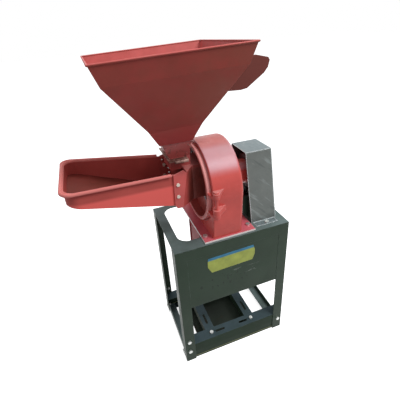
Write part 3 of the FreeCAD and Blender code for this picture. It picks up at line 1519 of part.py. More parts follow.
def hopper():
    """Fold the hopper: a leaning collar, a steep funnel, a neck and a rolled rim."""
    levels = [
        ("hopper_half_x", "hopper_half_y", "0"),
        ("hopper_fold_half", "hopper_fold_half", "-hopper_fold_drop"),
        ("hopper_slope_half", "hopper_slope_half", "-hopper_slope_drop"),
        ("hopper_neck_half_x", "hopper_neck_half_y", "-hopper_neck_drop"),
    ]
    shell = body("HopperShell")
    for name, inset, kind in (("Outer", "0", "PartDesign::AdditiveLoft"),
                              ("Inner", "hopper_sheet", "PartDesign::SubtractiveLoft")):
        drawings = []
        for number, (half_x, half_y, height) in enumerate(levels):
            drawing = sketch(shell, f"Hopper{name}{number}", "XY_Plane", height)
            u, v = f"{half_x} - {inset}", f"{half_y} - {inset}"
            rectangle(drawing, (f"-({u})", u), (f"-({v})", v))
            drawings.append(drawing)
        loft = shell.newObject(kind, f"Hopper{name}Loft")
        loft.Profile = drawings[0]
        loft.Sections = drawings[1:]
        loft.Ruled = True
    path = sketch(shell, "RimPath", "XY_Plane")
    rectangle(path, ("-hopper_half_x", "hopper_half_x"), ("-hopper_half_y", "hopper_half_y"))
    ring = sketch(shell, "RimSection", "XZ_Plane")
    circle(ring, ("hopper_half_x", "0"), "hopper_rim_radius")
    rim = shell.newObject("PartDesign::AdditivePipe", "Rim")
    rim.Profile = ring
    rim.Spine = (path, ["Edge1", "Edge2", "Edge3", "Edge4"])
    rim.Transition = "Right corner"
    shell.Placement = hopper_place()
    below = box("BelowNeck", ("hopper_x - 200", "hopper_x + 200"), ("-200", "200"),
                ("throat_top - 60", "throat_top"))
    keep(cut("HopperCut", shell, [below]), "hopper")


def hopper_place():
    """Give the hopper's place: its rim's middle, and the small lean it hangs with."""
    turn = Rotation(V(1, 0, 0), value("hopper_roll"))
    turn = Rotation(V(0, 1, 0), value("hopper_pitch")) * turn
    return Placement(V(value("hopper_x"), 0, value("hopper_z")), turn)


def side_scoop():
    """Fold the scoop on the hopper's right wall, open at the top."""
    lean = "(hopper_fold_half - hopper_slope_half) / (hopper_slope_drop - hopper_fold_drop)"
    foot = "hopper_fold_drop + scoop_foot_drop"
    foot_x = f"hopper_fold_half - {lean} * scoop_foot_drop"
    shares = [(0.645, -0.074), (0.96, 0.062), (1, 0.16), (0.952, 0.383), (0.847, 0.556), (0.395, 0.975), (0.234, 1)]
    outer = [("hopper_fold_half + scoop_gap", "-hopper_fold_drop")]
    outer += [
        (f"hopper_fold_half + scoop_reach * {along}", f"-hopper_fold_drop - scoop_drop * ({down})")
        for along, down in shares
    ]
    outer.append((f"{foot_x} + scoop_gap", f"-({foot})"))
    scoop = body("SideScoop")
    face = sketch(scoop, "ScoopProfile", "XZ_Plane", "-scoop_half")
    outline(face, outer)
    pad(scoop, face, "scoop_half * 2")
    shell = scoop.newObject("PartDesign::Thickness", "ScoopShell")
    doc.recompute()
    grown = doc.getObject("ScoopProfilePad")
    tops = [
        f"Face{number}"
        for number, side in enumerate(grown.Shape.Faces, start=1)
        if side.normalAt(0, 0).z > 0.9
    ]
    shell.Base = (grown, tops)
    shell.setExpression("Value", sized("scoop_sheet"))
    shell.Reversed = True
    shell.Join = "Intersection"
    scoop.Placement = hopper_place()
    keep(scoop, "side_scoop", "hopper_x")


def tray_form(name, inset, lift):
    """Shape the tray as a solid: a tapering plan with round corners under a leaning rim."""
    form = body(name)
    slope = f"(tray_outer_half - tray_mouth_half) / (tray_mouth_x - ({TRAY_OUTER}))"
    mouth = f"tray_mouth_half - {inset}"
    outer = f"tray_outer_half - {inset} - {inset} * {slope}"
    floor_slope = f"(tray_end_z - tray_floor_z) / (tray_floor_x - ({TRAY_OUTER}))"
    floor_at = f"tray_end_z + 40 * {floor_slope}"
    plan = sketch(form, name + "Plan", "XY_Plane", "tray_floor_z - 10")
    end = f"{TRAY_OUTER} + {inset}"
    inner = f"tray_inner_x + {inset} * 2"
    outline(plan, [
        (end, f"-({outer})"),
        ("tray_mouth_x", f"-({mouth})"),
        (inner, f"-({mouth})"),
        (inner, mouth),
        ("tray_mouth_x", mouth),
        (end, outer),
    ])
    grown = pad(form, plan, "200")
    limit = value(end) + 1

    def outer_corner(edge):
        return upright(edge) and edge.Vertexes[0].X < limit

    fillet(form, grown, f"tray_corner - {inset}", outer_corner)
    below = sketch(form, name + "Below", "XZ_Plane", "-200")
    foot_x = "tray_floor_x"
    outline(below, [
        ("tray_inner_x + 60", "tray_floor_z - 60"),
        ("tray_inner_x + 60", f"tray_floor_z + {lift}"),
        (foot_x, f"tray_floor_z + {lift}"),
        (f"{TRAY_OUTER} - 40", f"{floor_at} + {lift}"),
        (f"{TRAY_OUTER} - 40", "tray_floor_z - 60"),
    ])
    pocket(form, below, "400")
    above = sketch(form, name + "Above", "XZ_Plane", "-200")
    rim_slope = f"(tray_rim_inner_z - tray_rim_outer_z) / (tray_inner_x - ({TRAY_OUTER}))"
    up = f"{lift} * 5"
    outline(above, [
        (f"{TRAY_OUTER} - 60", f"tray_rim_outer_z - 60 * {rim_slope} + {up}"),
        ("tray_inner_x + 60", f"tray_rim_inner_z + 60 * {rim_slope} + {up}"),
        ("tray_inner_x + 60", "tray_rim_outer_z + 200"),
        (f"{TRAY_OUTER} - 60", "tray_rim_outer_z + 200"),
    ])
    pocket(form, above, "400")
    return form


def feed_tray():
    """Fold the feed tray and roll its rim outward."""
    outer = tray_form("TrayOuter", "0", "0")
    inner = tray_form("TrayInner", "tray_sheet", "tray_sheet")
    shell = cut("TrayShell", outer, [inner])
    holes = [
        cylinder(f"TrayHole{number}", "y", "cap_bolt_radius + bolt_clearance",
                 "-cheek_half - 1", "cheek_half + 1", place)
        for number, place in enumerate(TRAY_BOLTS)
    ]
    slope = (value("tray_outer_half") - value("tray_mouth_half")) / (value("tray_mouth_x") - value(TRAY_OUTER))
    out = value("tray_bead_out")
    corner = value("tray_corner") + out
    far = value(TRAY_OUTER) - out
    half_far = value("tray_outer_half") + out + slope * out
    half_near = value("tray_mouth_half") + out
    near = value("tray_mouth_x") - 2
    lean = math.atan(slope)
    back = corner * math.tan((math.pi / 2 - lean) / 2)
    along = V(math.cos(lean), math.sin(lean), 0)
    turn_start = V(far, half_far - back, 0)
    turn_end = V(far, half_far, 0) + V(along.x, -along.y, 0) * back
    centre = V(far + corner, half_far - back, 0)
    chord = (turn_start + turn_end) * 0.5 - centre
    middle = centre + chord * (corner / chord.Length)
    mirror = FreeCAD.Matrix(1, 0, 0, 0, 0, -1, 0, 0, 0, 0, 1, 0, 0, 0, 0, 1)
    flipped = [mirror.multVec(place) for place in (turn_start, middle, turn_end)]
    end_place = V(near, half_near, 0)
    path = Part.Wire([
        Part.makeLine(end_place, turn_end),
        Part.Arc(turn_end, middle, turn_start).toShape(),
        Part.makeLine(turn_start, flipped[0]),
        Part.Arc(flipped[0], flipped[1], flipped[2]).toShape(),
        Part.makeLine(flipped[2], mirror.multVec(end_place)),
    ])
    ring = Part.Wire(Part.makeCircle(value("tray_bead_radius"), end_place, turn_end - end_place))
    bead = path.makePipeShell([ring], True, True)
    fall = math.atan((value("tray_rim_outer_z") - value("tray_rim_inner_z"))
                     / (value("tray_inner_x") - value(TRAY_OUTER)))
    bead.rotate(V(value(TRAY_OUTER), 0, 0), V(0, 1, 0), math.degrees(fall))
    bead.translate(V(0, 0, value("tray_rim_outer_z")))
    roll = doc.addObject("Part::Feature", "TrayBead")
    roll.Shape = bead
    keep(cut("TrayDrilled", fuse("TrayWhole", [shell, roll]), holes), "feed_tray")
    bolts = []
    for number, (x, z) in enumerate(TRAY_BOLTS):
        for side in (-1, 1):
            name = f"TrayBolt{number}{side + 1}"
            outer_face = "cheek_half"
            inner_face = "tray_mouth_half - tray_sheet"
            spans = ((outer_face, f"{outer_face} + 3.5"), (f"{inner_face} - 3.5", inner_face),
                     (f"{inner_face} - 3.5", f"{outer_face} + 3.5"))
            if side < 0:
                spans = tuple((f"-({high})", f"-({low})") for low, high in spans)
            bolts.append(fuse(name, [
                hexagon(name + "Head", "y", "cap_bolt_radius * 2", *spans[0], (x, z)),
                hexagon(name + "Nut", "y", "cap_bolt_radius * 2", *spans[1], (x, z)),
                cylinder(name + "Rod", "y", "cap_bolt_radius", *spans[2], (x, z)),
            ]))
    keep(group("TrayBoltGroup", bolts), "tray_bolts")


front_panel()
back_frame()
top_plate()
bottom_rail("bottom_rail_front", "FrontRail", -1)
bottom_rail("bottom_rail_back", "BackRail", 1)
side_rails()
bottom_plate()
motor_rails()
stand_bolts()
sticker()
belt_guard()
base_plate()
discharge_chute()
housing()
hinge_pin()
swing_clamp()
shaft_line()
rotor()
pulley()
ring_sieve()
door()
fixed_disc()
feed_box()
slide_gate()
hopper()
side_scoop()
feed_tray()
doc.recompute()

for item in doc.Objects:
    if any(word in item.State for word in ("Invalid", "Error")):
        raise RuntimeError(f"{item.Label} did not build: {item.State}")

os.makedirs("parts", exist_ok=True)
for piece in subparts:
    if piece.Shape.isNull() or not piece.Shape.isValid():
        raise RuntimeError(f"{piece.Label} has no valid shape")
    piece.Shape.exportStep(f"parts/{piece.Label}.step")
print(f"{len(subparts)} sub-parts written")
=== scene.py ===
"""Looks of the disc mill: finishes for every piece, soft studio light and the photograph's view."""
import json
import math

import bmesh
import bpy
from mathutils import Euler, Matrix, Vector

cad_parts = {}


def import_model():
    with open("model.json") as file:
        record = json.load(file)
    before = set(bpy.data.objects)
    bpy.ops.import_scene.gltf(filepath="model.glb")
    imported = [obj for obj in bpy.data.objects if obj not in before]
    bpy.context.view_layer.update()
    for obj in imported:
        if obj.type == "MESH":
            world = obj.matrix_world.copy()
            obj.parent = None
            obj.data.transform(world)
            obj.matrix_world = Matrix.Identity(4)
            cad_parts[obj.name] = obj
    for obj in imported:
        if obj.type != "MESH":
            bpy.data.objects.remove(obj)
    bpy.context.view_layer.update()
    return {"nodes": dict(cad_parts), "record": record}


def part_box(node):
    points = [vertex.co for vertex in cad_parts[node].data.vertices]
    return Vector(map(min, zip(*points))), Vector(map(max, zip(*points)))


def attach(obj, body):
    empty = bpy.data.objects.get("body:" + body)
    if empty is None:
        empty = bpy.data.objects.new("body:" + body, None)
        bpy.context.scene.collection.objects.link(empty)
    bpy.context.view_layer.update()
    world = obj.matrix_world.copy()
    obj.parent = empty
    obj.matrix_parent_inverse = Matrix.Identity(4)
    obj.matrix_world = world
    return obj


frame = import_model()
nodes = frame["nodes"]

# Places on the mill, in metres. A pair says where a mask starts and where it is full, and four
# numbers add where it fades and ends.

AXIS_Z = 0.6742
PANEL_SEAM = 0.0012
# The door's rim, which gets a painted highlight; the dish inside it, which gets painted shade; and the
# dish's lower part, which gets painted light
DOOR_RIM = (0.1225, 0.1255, 0.1292, 0.1305)
DOOR_DISH = (0.121, 0.118)
DISH_FOOT = (AXIS_Z - 0.02, AXIS_Z - 0.06)
# Where painted shade falls on the feed box: towards the door and below the throat
NEAR_DOOR = (-0.002, 0.02)
BELOW_THROAT = (0.765, 0.74)
THROAT = (0.742, 0.77)
HOPPER_RIGHT = (-0.1, 0.12)
HOPPER_FOOT = (0.93, 0.85)
# The tray: the foot of its outer wall gets painted light, and its rolled rim a painted highlight
TRAY_OUTSIDE = (-0.03, -0.05)
TRAY_LIT_SLOPE = 0.085
TRAY_LIT = (0.719, 0.708)
RIM_SLOPE = 0.0826
RIM_START = 0.0098
RIM_Z = 0.7765
STICKER_HEIGHT = 0.061
STICKER_BLUE = 0.0105
STICKER_SOFT = 0.0015

# The small nuts on the tray's far cheek

NUT_PLACES = ((-0.0285, 0.078, 0.739), (-0.0095, 0.080, 0.704), (-0.0085, 0.080, 0.688))
NUT_RADIUS = 0.0046
NUT_DEPTH = 0.004
NUT_OUT = 0.0021
NUT_ROUNDING = 0.0005
SCREW_RADIUS = 0.0024
SCREW_TIP_RADIUS = 0.0021
SCREW_DEPTH = 0.003
SCREW_OUT = 0.0046

# The bent rods in the far corners of the tray's rim

BEND_X = 0.044
BEND_Y = 0.08185
BEND_RADIUS = 0.037
BEND_ANGLE = 98
BEND_STEPS = 24
ROD_RADIUS = 0.0034
ROD_SIDES = 14


# Colours

def linear(red, green, blue):
    """Turn a display colour, 0 to 255 a channel, into the shader's linear colour."""
    shares = [channel / 255 for channel in (red, green, blue)]
    return tuple(
        share / 12.92 if share <= 0.04045 else ((share + 0.055) / 1.055) ** 2.4
        for share in shares
    ) + (1.0,)


def grey(value):
    """Give a plain grey as a shader colour."""
    return (value, value, value, 1.0)


def shade(color, share):
    """Darken or lighten a colour by a share."""
    return tuple(min(1.0, channel * share) for channel in color[:3]) + (1.0,)


BLACK = grey(0.0)
WHITE = grey(1.0)
STAND = linear(50, 65, 52)
# STAND_EDGE is the pale tone of the stand's edge wear and of the painted highlights along its edges
STAND_EDGE = linear(118, 132, 126)
# Painted light on upward faces: a bluish sky sheen for the stand, and a pale lit tone for the inside of the
# hopper and the scoop
SKY_SHEEN = linear(124, 141, 142)
INSIDE_LIGHT = linear(204, 100, 97)


# Shader building

def add(tree, kind, **settings):
    """Add a shader node, and set its inputs by name."""
    made = tree.nodes.new(kind)
    for name, value in settings.items():
        made.inputs[name.replace("_", " ")].default_value = value
    return made


def mapped(tree, source, setting, values):
    """Turn or stretch a place before a texture reads it."""
    made = tree.nodes.new("ShaderNodeMapping")
    made.inputs[setting].default_value = values
    tree.links.new(source, made.inputs["Vector"])
    return made.outputs["Vector"]


def noise(tree, scale, detail=4.0, roughness=0.55, stretch=None, lean=0):
    """Make noise in the object's own coordinates, leant about Y in degrees or stretched if asked."""
    source = tree.nodes.new("ShaderNodeTexCoord").outputs["Object"]
    if lean:
        source = mapped(tree, source, "Rotation", (0, math.radians(lean), 0))
    if stretch:
        source = mapped(tree, source, "Scale", stretch)
    made = add(tree, "ShaderNodeTexNoise", Scale=scale, Detail=detail, Roughness=roughness)
    tree.links.new(source, made.inputs["Vector"])
    return made.outputs["Fac"]


def ramp(tree, source, low, high, start=BLACK, end=WHITE):
    """Spread a value between two limits over two colours."""
    made = tree.nodes.new("ShaderNodeValToRGB")
    for element, position, color in zip(made.color_ramp.elements, (low, high), (start, end)):
        element.position = position
        element.color = color
    tree.links.new(source, made.inputs["Fac"])
    return made.outputs["Color"]


def mix(tree, factor, first, second):
    """Mix two colours or colour outputs by a factor output."""
    made = tree.nodes.new("ShaderNodeMix")
    made.data_type = "RGBA"
    for name, value in (("A", first), ("B", second)):
        socket = next(s for s in made.inputs if s.name == name and s.type == "RGBA")
        if isinstance(value, tuple):
            socket.default_value = value
        else:
            tree.links.new(value, socket)
    tree.links.new(factor, made.inputs["Factor"])
    return next(s for s in made.outputs if s.type == "RGBA")


def product(tree, first, second):
    """Multiply two values, either of which may be a number."""
    made = tree.nodes.new("ShaderNodeMath")
    made.operation = "MULTIPLY"
    for socket, value in zip(made.inputs, (first, second)):
        if isinstance(value, (int, float)):
            socket.default_value = value
        else:
            tree.links.new(value, socket)
    return made.outputs["Value"]


def cover(tree, surface, color, share, *masks):
    """Lay a colour over a surface where all the masks are on, as strongly as the share says."""
    factor = share
    for mask in masks:
        factor = product(tree, factor, mask)
    return mix(tree, factor, surface, color)


def rise(tree, source, low, high):
    """Go smoothly from 0 at one limit to 1 at the other."""
    made = tree.nodes.new("ShaderNodeMapRange")
    made.interpolation_type = "SMOOTHSTEP"
    made.inputs["From Min"].default_value = low
    made.inputs["From Max"].default_value = high
    tree.links.new(source, made.inputs["Value"])
    return made.outputs["Result"]


def band(tree, source, start, full, fade, end):
    """Go smoothly from 0 to 1 between two limits, and back to 0 between two more."""
    return product(tree, rise(tree, source, start, full), rise(tree, source, end, fade))


def axes(tree, kind="ShaderNodeTexCoord", output="Object"):
    """Split a place or a direction into its three parts."""
    split = tree.nodes.new("ShaderNodeSeparateXYZ")
    tree.links.new(tree.nodes.new(kind).outputs[output], split.inputs["Vector"])
    return split.outputs


def facing(tree, axis, low, high):
    """Find the faces that look along an axis, by that part of their normal."""
    return rise(tree, axes(tree, "ShaderNodeNewGeometry", "Normal")[axis], low, high)


def facing_front(tree):
    """Find the faces that look to the front."""
    return facing(tree, "Y", -0.5, -0.8)


def patch(tree, x, z, soft):
    """Mask an upright rectangle with soft edges."""
    place = axes(tree)
    across = band(tree, place["X"], x[0] - soft, x[0] + soft, x[1] - soft, x[1] + soft)
    up = band(tree, place["Z"], z[0] - soft, z[0] + soft, z[1] - soft, z[1] + soft)
    return product(tree, across, up)


def above_slope(tree, slope):
    """Measure height above a line that falls by a slope along X."""
    place = axes(tree)
    sloped = tree.nodes.new("ShaderNodeMath")
    sloped.operation = "MULTIPLY_ADD"
    sloped.inputs[1].default_value = slope
    tree.links.new(place["X"], sloped.inputs[0])
    tree.links.new(place["Z"], sloped.inputs[2])
    return sloped.outputs["Value"]


def radius_from_axis(tree):
    """Measure how far a place lies from the shaft's line."""
    place = axes(tree)
    joined = tree.nodes.new("ShaderNodeCombineXYZ")
    tree.links.new(place["Y"], joined.inputs["Y"])
    tree.links.new(place["Z"], joined.inputs["Z"])
    apart = tree.nodes.new("ShaderNodeVectorMath")
    apart.operation = "DISTANCE"
    apart.inputs[1].default_value = (0, 0, AXIS_Z)
    tree.links.new(joined.outputs["Vector"], apart.inputs[0])
    return apart.outputs["Value"]


def material(name):
    """Start a material and give its tree and its shader."""
    made = bpy.data.materials.new(name)
    made.use_nodes = True
    tree = made.node_tree
    return made, tree, tree.nodes["Principled BSDF"]


def bump(tree, shader, source, strength, distance, edge=0.0012):
    """Raise the surface a little with a value, over edges softened by a bevel."""
    soft = add(tree, "ShaderNodeBevel", Radius=edge)
    made = add(tree, "ShaderNodeBump", Strength=strength, Distance=distance)
    tree.links.new(source, made.inputs["Height"])
    tree.links.new(soft.outputs["Normal"], made.inputs["Normal"])
    tree.links.new(made.outputs["Normal"], shader.inputs["Normal"])


def vary_roughness(tree, shader, source, roughness, spread):
    """Let the roughness wander to both sides of its middle by a share of it."""
    rough = ramp(tree, source, 0.3, 0.7, grey(roughness * (1 - spread)), grey(roughness * (1 + spread)))
    tree.links.new(rough, shader.inputs["Roughness"])


def edges(tree, radius, patchy=(0.42, 0.6)):
    """Find edges for wear and painted highlights: where a bevelled normal turns away from the true one."""
    soft = add(tree, "ShaderNodeBevel", Radius=radius)
    flat = tree.nodes.new("ShaderNodeNewGeometry")
    turn = tree.nodes.new("ShaderNodeVectorMath")
    turn.operation = "DOT_PRODUCT"
    tree.links.new(soft.outputs["Normal"], turn.inputs[0])
    tree.links.new(flat.outputs["Normal"], turn.inputs[1])
    sharp = ramp(tree, turn.outputs["Value"], 0.7, 0.985, WHITE, BLACK)
    return product(tree, sharp, ramp(tree, noise(tree, 60, 3), *patchy))


def paint(name, color, edge_wear_and_highlight, roughness, peel=0.12, mottle=0.14, edge_share=0.8, edge_radius=0.0025,
          coat=0.0, specular=0.5, top_light=None, top_light_share=0.5, top_light_from=(0.55, 0.95), extra=None,
          patchy=(0.42, 0.6)):
    """Sprayed paint: mottling, orange peel, painted light on upward faces, and thin chipped wear with
    painted highlights along the edges.
    """
    made, tree, shader = material(name)
    surface = ramp(tree, noise(tree, 9, 5), 0.35, 0.68, shade(color, 1 - mottle), shade(color, 1 + mottle))
    if extra:
        surface = extra(tree, surface)
    # Painted light: a paler tone on upward faces, in patches, stands in for the sky's sheen and the light on
    # the tops
    if top_light:
        patches = ramp(tree, noise(tree, 16, 6, 0.65), 0.25, 0.7, grey(0.45))
        surface = cover(tree, surface, top_light, top_light_share, facing(tree, "Z", *top_light_from), patches)
    # Edge wear together with a painted highlight along the edges
    surface = cover(tree, surface, edge_wear_and_highlight, edge_share, edges(tree, edge_radius, patchy))
    tree.links.new(surface, shader.inputs["Base Color"])
    vary_roughness(tree, shader, noise(tree, 14, 4), roughness, 0.2)
    shader.inputs["Specular IOR Level"].default_value = specular
    shader.inputs["Coat Weight"].default_value = coat
    shader.inputs["Coat Roughness"].default_value = 0.3
    bump(tree, shader, noise(tree, 420, 2), peel, 0.0006)
    return made


def scratches(tree, surface):
    """Scratch a face with long marks, pale and dark, that run down to the right."""
    marks = noise(tree, 48, 3, 0.5, (0.2, 0.4, 1.4), lean=-42)
    surface = cover(tree, surface, linear(156, 164, 164), 0.3, ramp(tree, marks, 0.60, 0.68))
    return cover(tree, surface, linear(64, 70, 70), 0.35, ramp(tree, marks, 0.32, 0.40, WHITE, BLACK))


def metal(name, color, roughness, stretch=None, grain=0.08, stain_and_shade=None, metallic=1.0, stain_at=(0.55, 0.75),
          edge_wear_and_highlight=None, top_light=None, scratched=False):
    """Bare metal with a fine grain, drawn along an axis where it is rolled or turned."""
    made, tree, shader = material(name)
    surface = ramp(tree, noise(tree, 18, 5), 0.35, 0.7, shade(color, 0.82), color)
    if stain_and_shade:
        surface = cover(tree, surface, stain_and_shade, 1.0, ramp(tree, noise(tree, 35, 6, 0.7), *stain_at))
    # Painted light: a paler tone on upward faces stands in for the sky's sheen on the tops
    if top_light:
        surface = cover(tree, surface, top_light, 0.8, facing(tree, "Z", 0.5, 0.9))
    # Edge wear together with a painted highlight along the edges
    if edge_wear_and_highlight:
        surface = cover(tree, surface, edge_wear_and_highlight, 1.0, edges(tree, 0.005, (0.15, 0.3)))
    if scratched:
        surface = scratches(tree, surface)
    tree.links.new(surface, shader.inputs["Base Color"])
    shader.inputs["Metallic"].default_value = metallic
    vary_roughness(tree, shader, noise(tree, 60, 4), roughness, 0.25)
    bump(tree, shader, noise(tree, 300, 3, 0.6, stretch), grain, 0.0004, 0.0006)
    return made


# What single pieces have over their paint, painted light and shade among it

def front_marks(tree, surface):
    """Paint shade into the seam around the stand's front, and chip and scratch its paint below the sticker.
    """
    low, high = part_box("front_panel")
    # Painted shade in the seam along the panel's edges
    sheet = patch(tree, x=(low.x + PANEL_SEAM, high.x - PANEL_SEAM), z=(low.z - 0.01, high.z - PANEL_SEAM),
                  soft=PANEL_SEAM / 2)
    seam = ramp(tree, sheet, 0.2, 0.8, WHITE, BLACK)
    surface = cover(tree, surface, linear(22, 28, 24), 0.7, facing_front(tree), seam)
    chips = ramp(tree, noise(tree, 95, 4, 0.65, (1.0, 1.0, 0.6)), 0.58, 0.62)
    chipped = patch(tree, x=(low.x + 0.07, low.x + 0.25), z=(0.325, 0.385), soft=0.014)
    surface = cover(tree, surface, linear(24, 28, 24), 0.6, facing_front(tree), chips, chipped)
    lines = ramp(tree, noise(tree, 100, 4, 0.65, (0.4, 1.0, 1.6)), 0.60, 0.68)
    lined = patch(tree, x=(low.x + 0.18, low.x + 0.29), z=(0.35, 0.41), soft=0.012)
    return cover(tree, surface, linear(140, 148, 140), 0.5, facing_front(tree), lines, lined)


def door_dish(tree, surface):
    """Paint a highlight on the door's bright rim, painted shade in the dish inside it, and painted light on
    the dish's lower part.
    """
    radius = radius_from_axis(tree)
    # Painted highlight along the door's rim
    surface = cover(tree, surface, linear(244, 172, 168), 0.85, band(tree, radius, *DOOR_RIM))
    # Painted shade in the upper dish, with painted light on its lower floor
    stain_and_shade = ramp(tree, noise(tree, 14, 6, 0.65), 0.3, 0.7, linear(84, 36, 26), linear(112, 54, 44))
    foot = ramp(tree, noise(tree, 14, 6, 0.65), 0.3, 0.7, linear(150, 62, 56), linear(176, 80, 72))
    stain_and_shade = mix(tree, rise(tree, axes(tree)["Z"], *DISH_FOOT), stain_and_shade, foot)
    return mix(tree, rise(tree, radius, *DOOR_DISH), surface, stain_and_shade)


def box_shade_and_chips(tree, surface):
    """Paint shade on the feed box towards the door and below its throat, and chip the paint on its throat.
    """
    place = axes(tree)
    near_door = rise(tree, place["X"], *NEAR_DOOR)
    below = rise(tree, place["Z"], *BELOW_THROAT)
    # Painted shade on the lower feed box, near the door and under the throat
    stain_and_shade = ramp(tree, noise(tree, 18, 6, 0.65), 0.3, 0.7, linear(92, 42, 34), linear(122, 58, 48))
    surface = cover(tree, surface, stain_and_shade, 0.85, near_door, below)
    throat = rise(tree, place["Z"], *THROAT)
    surface = cover(tree, surface, linear(140, 62, 60), 0.7, throat)
    rust = ramp(tree, noise(tree, 75, 5, 0.65), 0.56, 0.62)
    surface = cover(tree, surface, linear(92, 46, 38), 0.8, rust, throat)
    bare = ramp(tree, noise(tree, 120, 4, 0.6, (1.0, 1.3, 0.8)), 0.64, 0.68)
    return cover(tree, surface, linear(206, 156, 144), 0.8, bare, throat)


def lit_plate_sides(tree, surface):
    """Paint the plate's upright sides pale: a painted highlight where the light catches its cut edge."""
    upright = tree.nodes.new("ShaderNodeMath")
    upright.operation = "ABSOLUTE"
    tree.links.new(axes(tree, "ShaderNodeNewGeometry", "Normal")["Z"], upright.inputs[0])
    return mix(tree, rise(tree, upright.outputs["Value"], 0.6, 0.3), surface, linear(254, 242, 240))


def hopper_tone(tree, surface):
    """Tint the hopper: browner to the right, darker where steep, redder at its foot and in blotches, with
    painted shade on its right inner wall.
    """
    place = axes(tree)
    browner = ramp(tree, noise(tree, 5, 4), 0.3, 0.6)
    surface = cover(tree, surface, linear(150, 88, 72), 0.5, rise(tree, place["X"], *HOPPER_RIGHT), browner)
    surface = cover(tree, surface, linear(90, 40, 34), 0.28, facing(tree, "Z", -0.46, -0.36))
    surface = cover(tree, surface, linear(170, 62, 64), 0.65, rise(tree, place["Z"], *HOPPER_FOOT))
    blotches = ramp(tree, noise(tree, 11, 6, 0.62), 0.45, 0.7)
    surface = cover(tree, surface, linear(182, 68, 66), 0.5, blotches, facing(tree, "Z", 0.0, -0.1))
    # Painted shade on the hopper's right inner wall
    right_wall = facing(tree, "X", -0.5, -0.75)
    return cover(tree, surface, linear(120, 84, 84), 0.5, right_wall, facing(tree, "Z", -0.1, 0.05))


def sheen_streaks(tree, surface):
    """Paint a pale, bluish sheen in streaks on the drum where it looks up and forward: a painted reflection
    of the sky.
    """
    normal = axes(tree, "ShaderNodeNewGeometry", "Normal")
    shoulder = band(tree, normal["Z"], 0.42, 0.7, 0.88, 0.985)
    streaks = ramp(tree, noise(tree, 12, 5, 0.6, (0.35, 1, 1)), 0.2, 0.65, grey(0.5))
    return cover(tree, surface, linear(218, 206, 222), 0.55, shoulder, streaks)


def tray_rim(tree, surface):
    """Paint a highlight on the tray's rolled rim, painted light on the foot of its outer wall, and painted
    shade on the floor inside it.
    """
    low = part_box("feed_tray")[0]
    height = above_slope(tree, RIM_SLOPE)
    line = RIM_Z + RIM_SLOPE * (low.x + RIM_START)
    below = rise(tree, height, line, line - 0.006)
    outside = rise(tree, axes(tree)["Y"], *TRAY_OUTSIDE)
    lit = rise(tree, above_slope(tree, TRAY_LIT_SLOPE), *TRAY_LIT)
    surface = cover(tree, surface, linear(248, 112, 106), 1.0, facing_front(tree), outside, below, lit)
    # Painted shade on the floor inside the tray, under the hopper
    patches = ramp(tree, noise(tree, 12, 5), 0.25, 0.7, grey(0.8))
    surface = cover(tree, surface, linear(116, 54, 45), 1.0, facing(tree, "Z", -0.02, 0.08), below, patches)
    # Painted highlight along the rolled rim
    rim = rise(tree, height, line - 0.004, line - 0.001)
    return cover(tree, surface, linear(232, 140, 134), 0.75, rim)


def lit_fold(tree, surface):
    """Catch the light along the fold at the foot of a rail's front."""
    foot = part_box("bottom_rail_front")[0].z
    fold = band(tree, axes(tree)["Z"], foot + 0.006, foot + 0.008, foot + 0.010, foot + 0.012)
    return cover(tree, surface, linear(150, 156, 112), 0.8, fold, facing_front(tree))


def grey_film(tree, surface):
    """Leave a thin brown film of meal and rust on a dark sheet."""
    return mix(tree, ramp(tree, noise(tree, 26, 6, 0.7), 0.58, 0.72), surface, linear(58, 46, 36))


def sticker_film():
    """Printed film: a plain blue strip over a plain yellow-green field, faded and rubbed."""
    made, tree, shader = material("sticker_film")
    low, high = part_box("sticker")
    lean = (high.z - low.z - STICKER_HEIGHT) / (high.x - low.x)
    strip = high.z - lean * high.x - STICKER_BLUE
    edge = rise(tree, above_slope(tree, -lean), strip - STICKER_SOFT, strip + STICKER_SOFT)
    green = ramp(tree, noise(tree, 30, 5), 0.3, 0.7, linear(152, 162, 76), linear(182, 192, 92))
    blue = ramp(tree, noise(tree, 30, 5), 0.3, 0.7, linear(40, 106, 142), linear(58, 134, 172))
    surface = mix(tree, edge, green, blue)
    rubbed = ramp(tree, noise(tree, 90, 6, 0.7), 0.62, 0.74)
    surface = mix(tree, rubbed, surface, linear(112, 122, 84))
    tree.links.new(surface, shader.inputs["Base Color"])
    shader.inputs["Roughness"].default_value = 0.4
    shader.inputs["Specular IOR Level"].default_value = 0.3
    bump(tree, shader, noise(tree, 40, 3), 0.25, 0.0006, 0.0003)
    return made


# Finishes

STAND_LOOK = {"roughness": 0.42, "peel": 0.2, "mottle": 0.12, "specular": 0.14, "edge_share": 0.6,
              "top_light": SKY_SHEEN, "top_light_share": 0.75}

red_paint = paint("red_paint", linear(211, 91, 85), linear(236, 172, 168), 0.3, coat=0.04, specular=0.16,
                  top_light=linear(228, 176, 172), top_light_share=0.45, edge_share=0.6, edge_radius=0.0032,
                  extra=sheen_streaks, patchy=(0.25, 0.5))
box_paint = paint("box_paint", linear(196, 84, 80), linear(226, 140, 136), 0.38, coat=0.1, specular=0.35,
                  top_light=linear(226, 168, 164), top_light_share=0.3, edge_share=0.6, edge_radius=0.003,
                  extra=box_shade_and_chips)
chute_paint = paint("chute_paint", linear(176, 72, 74), linear(214, 130, 124), 0.5, specular=0.15,
                    edge_share=0.5)
door_paint = paint("door_paint", linear(210, 96, 92), linear(224, 132, 128), 0.45, specular=0.15,
                   edge_share=0.5, edge_radius=0.003, extra=door_dish)
base_paint = paint("base_paint", linear(202, 82, 92), linear(236, 206, 204), 0.34, coat=0.1, specular=0.25,
                   top_light=linear(214, 134, 144), top_light_share=0.4, edge_share=0.9, edge_radius=0.003,
                   patchy=(0.25, 0.4), extra=lit_plate_sides)
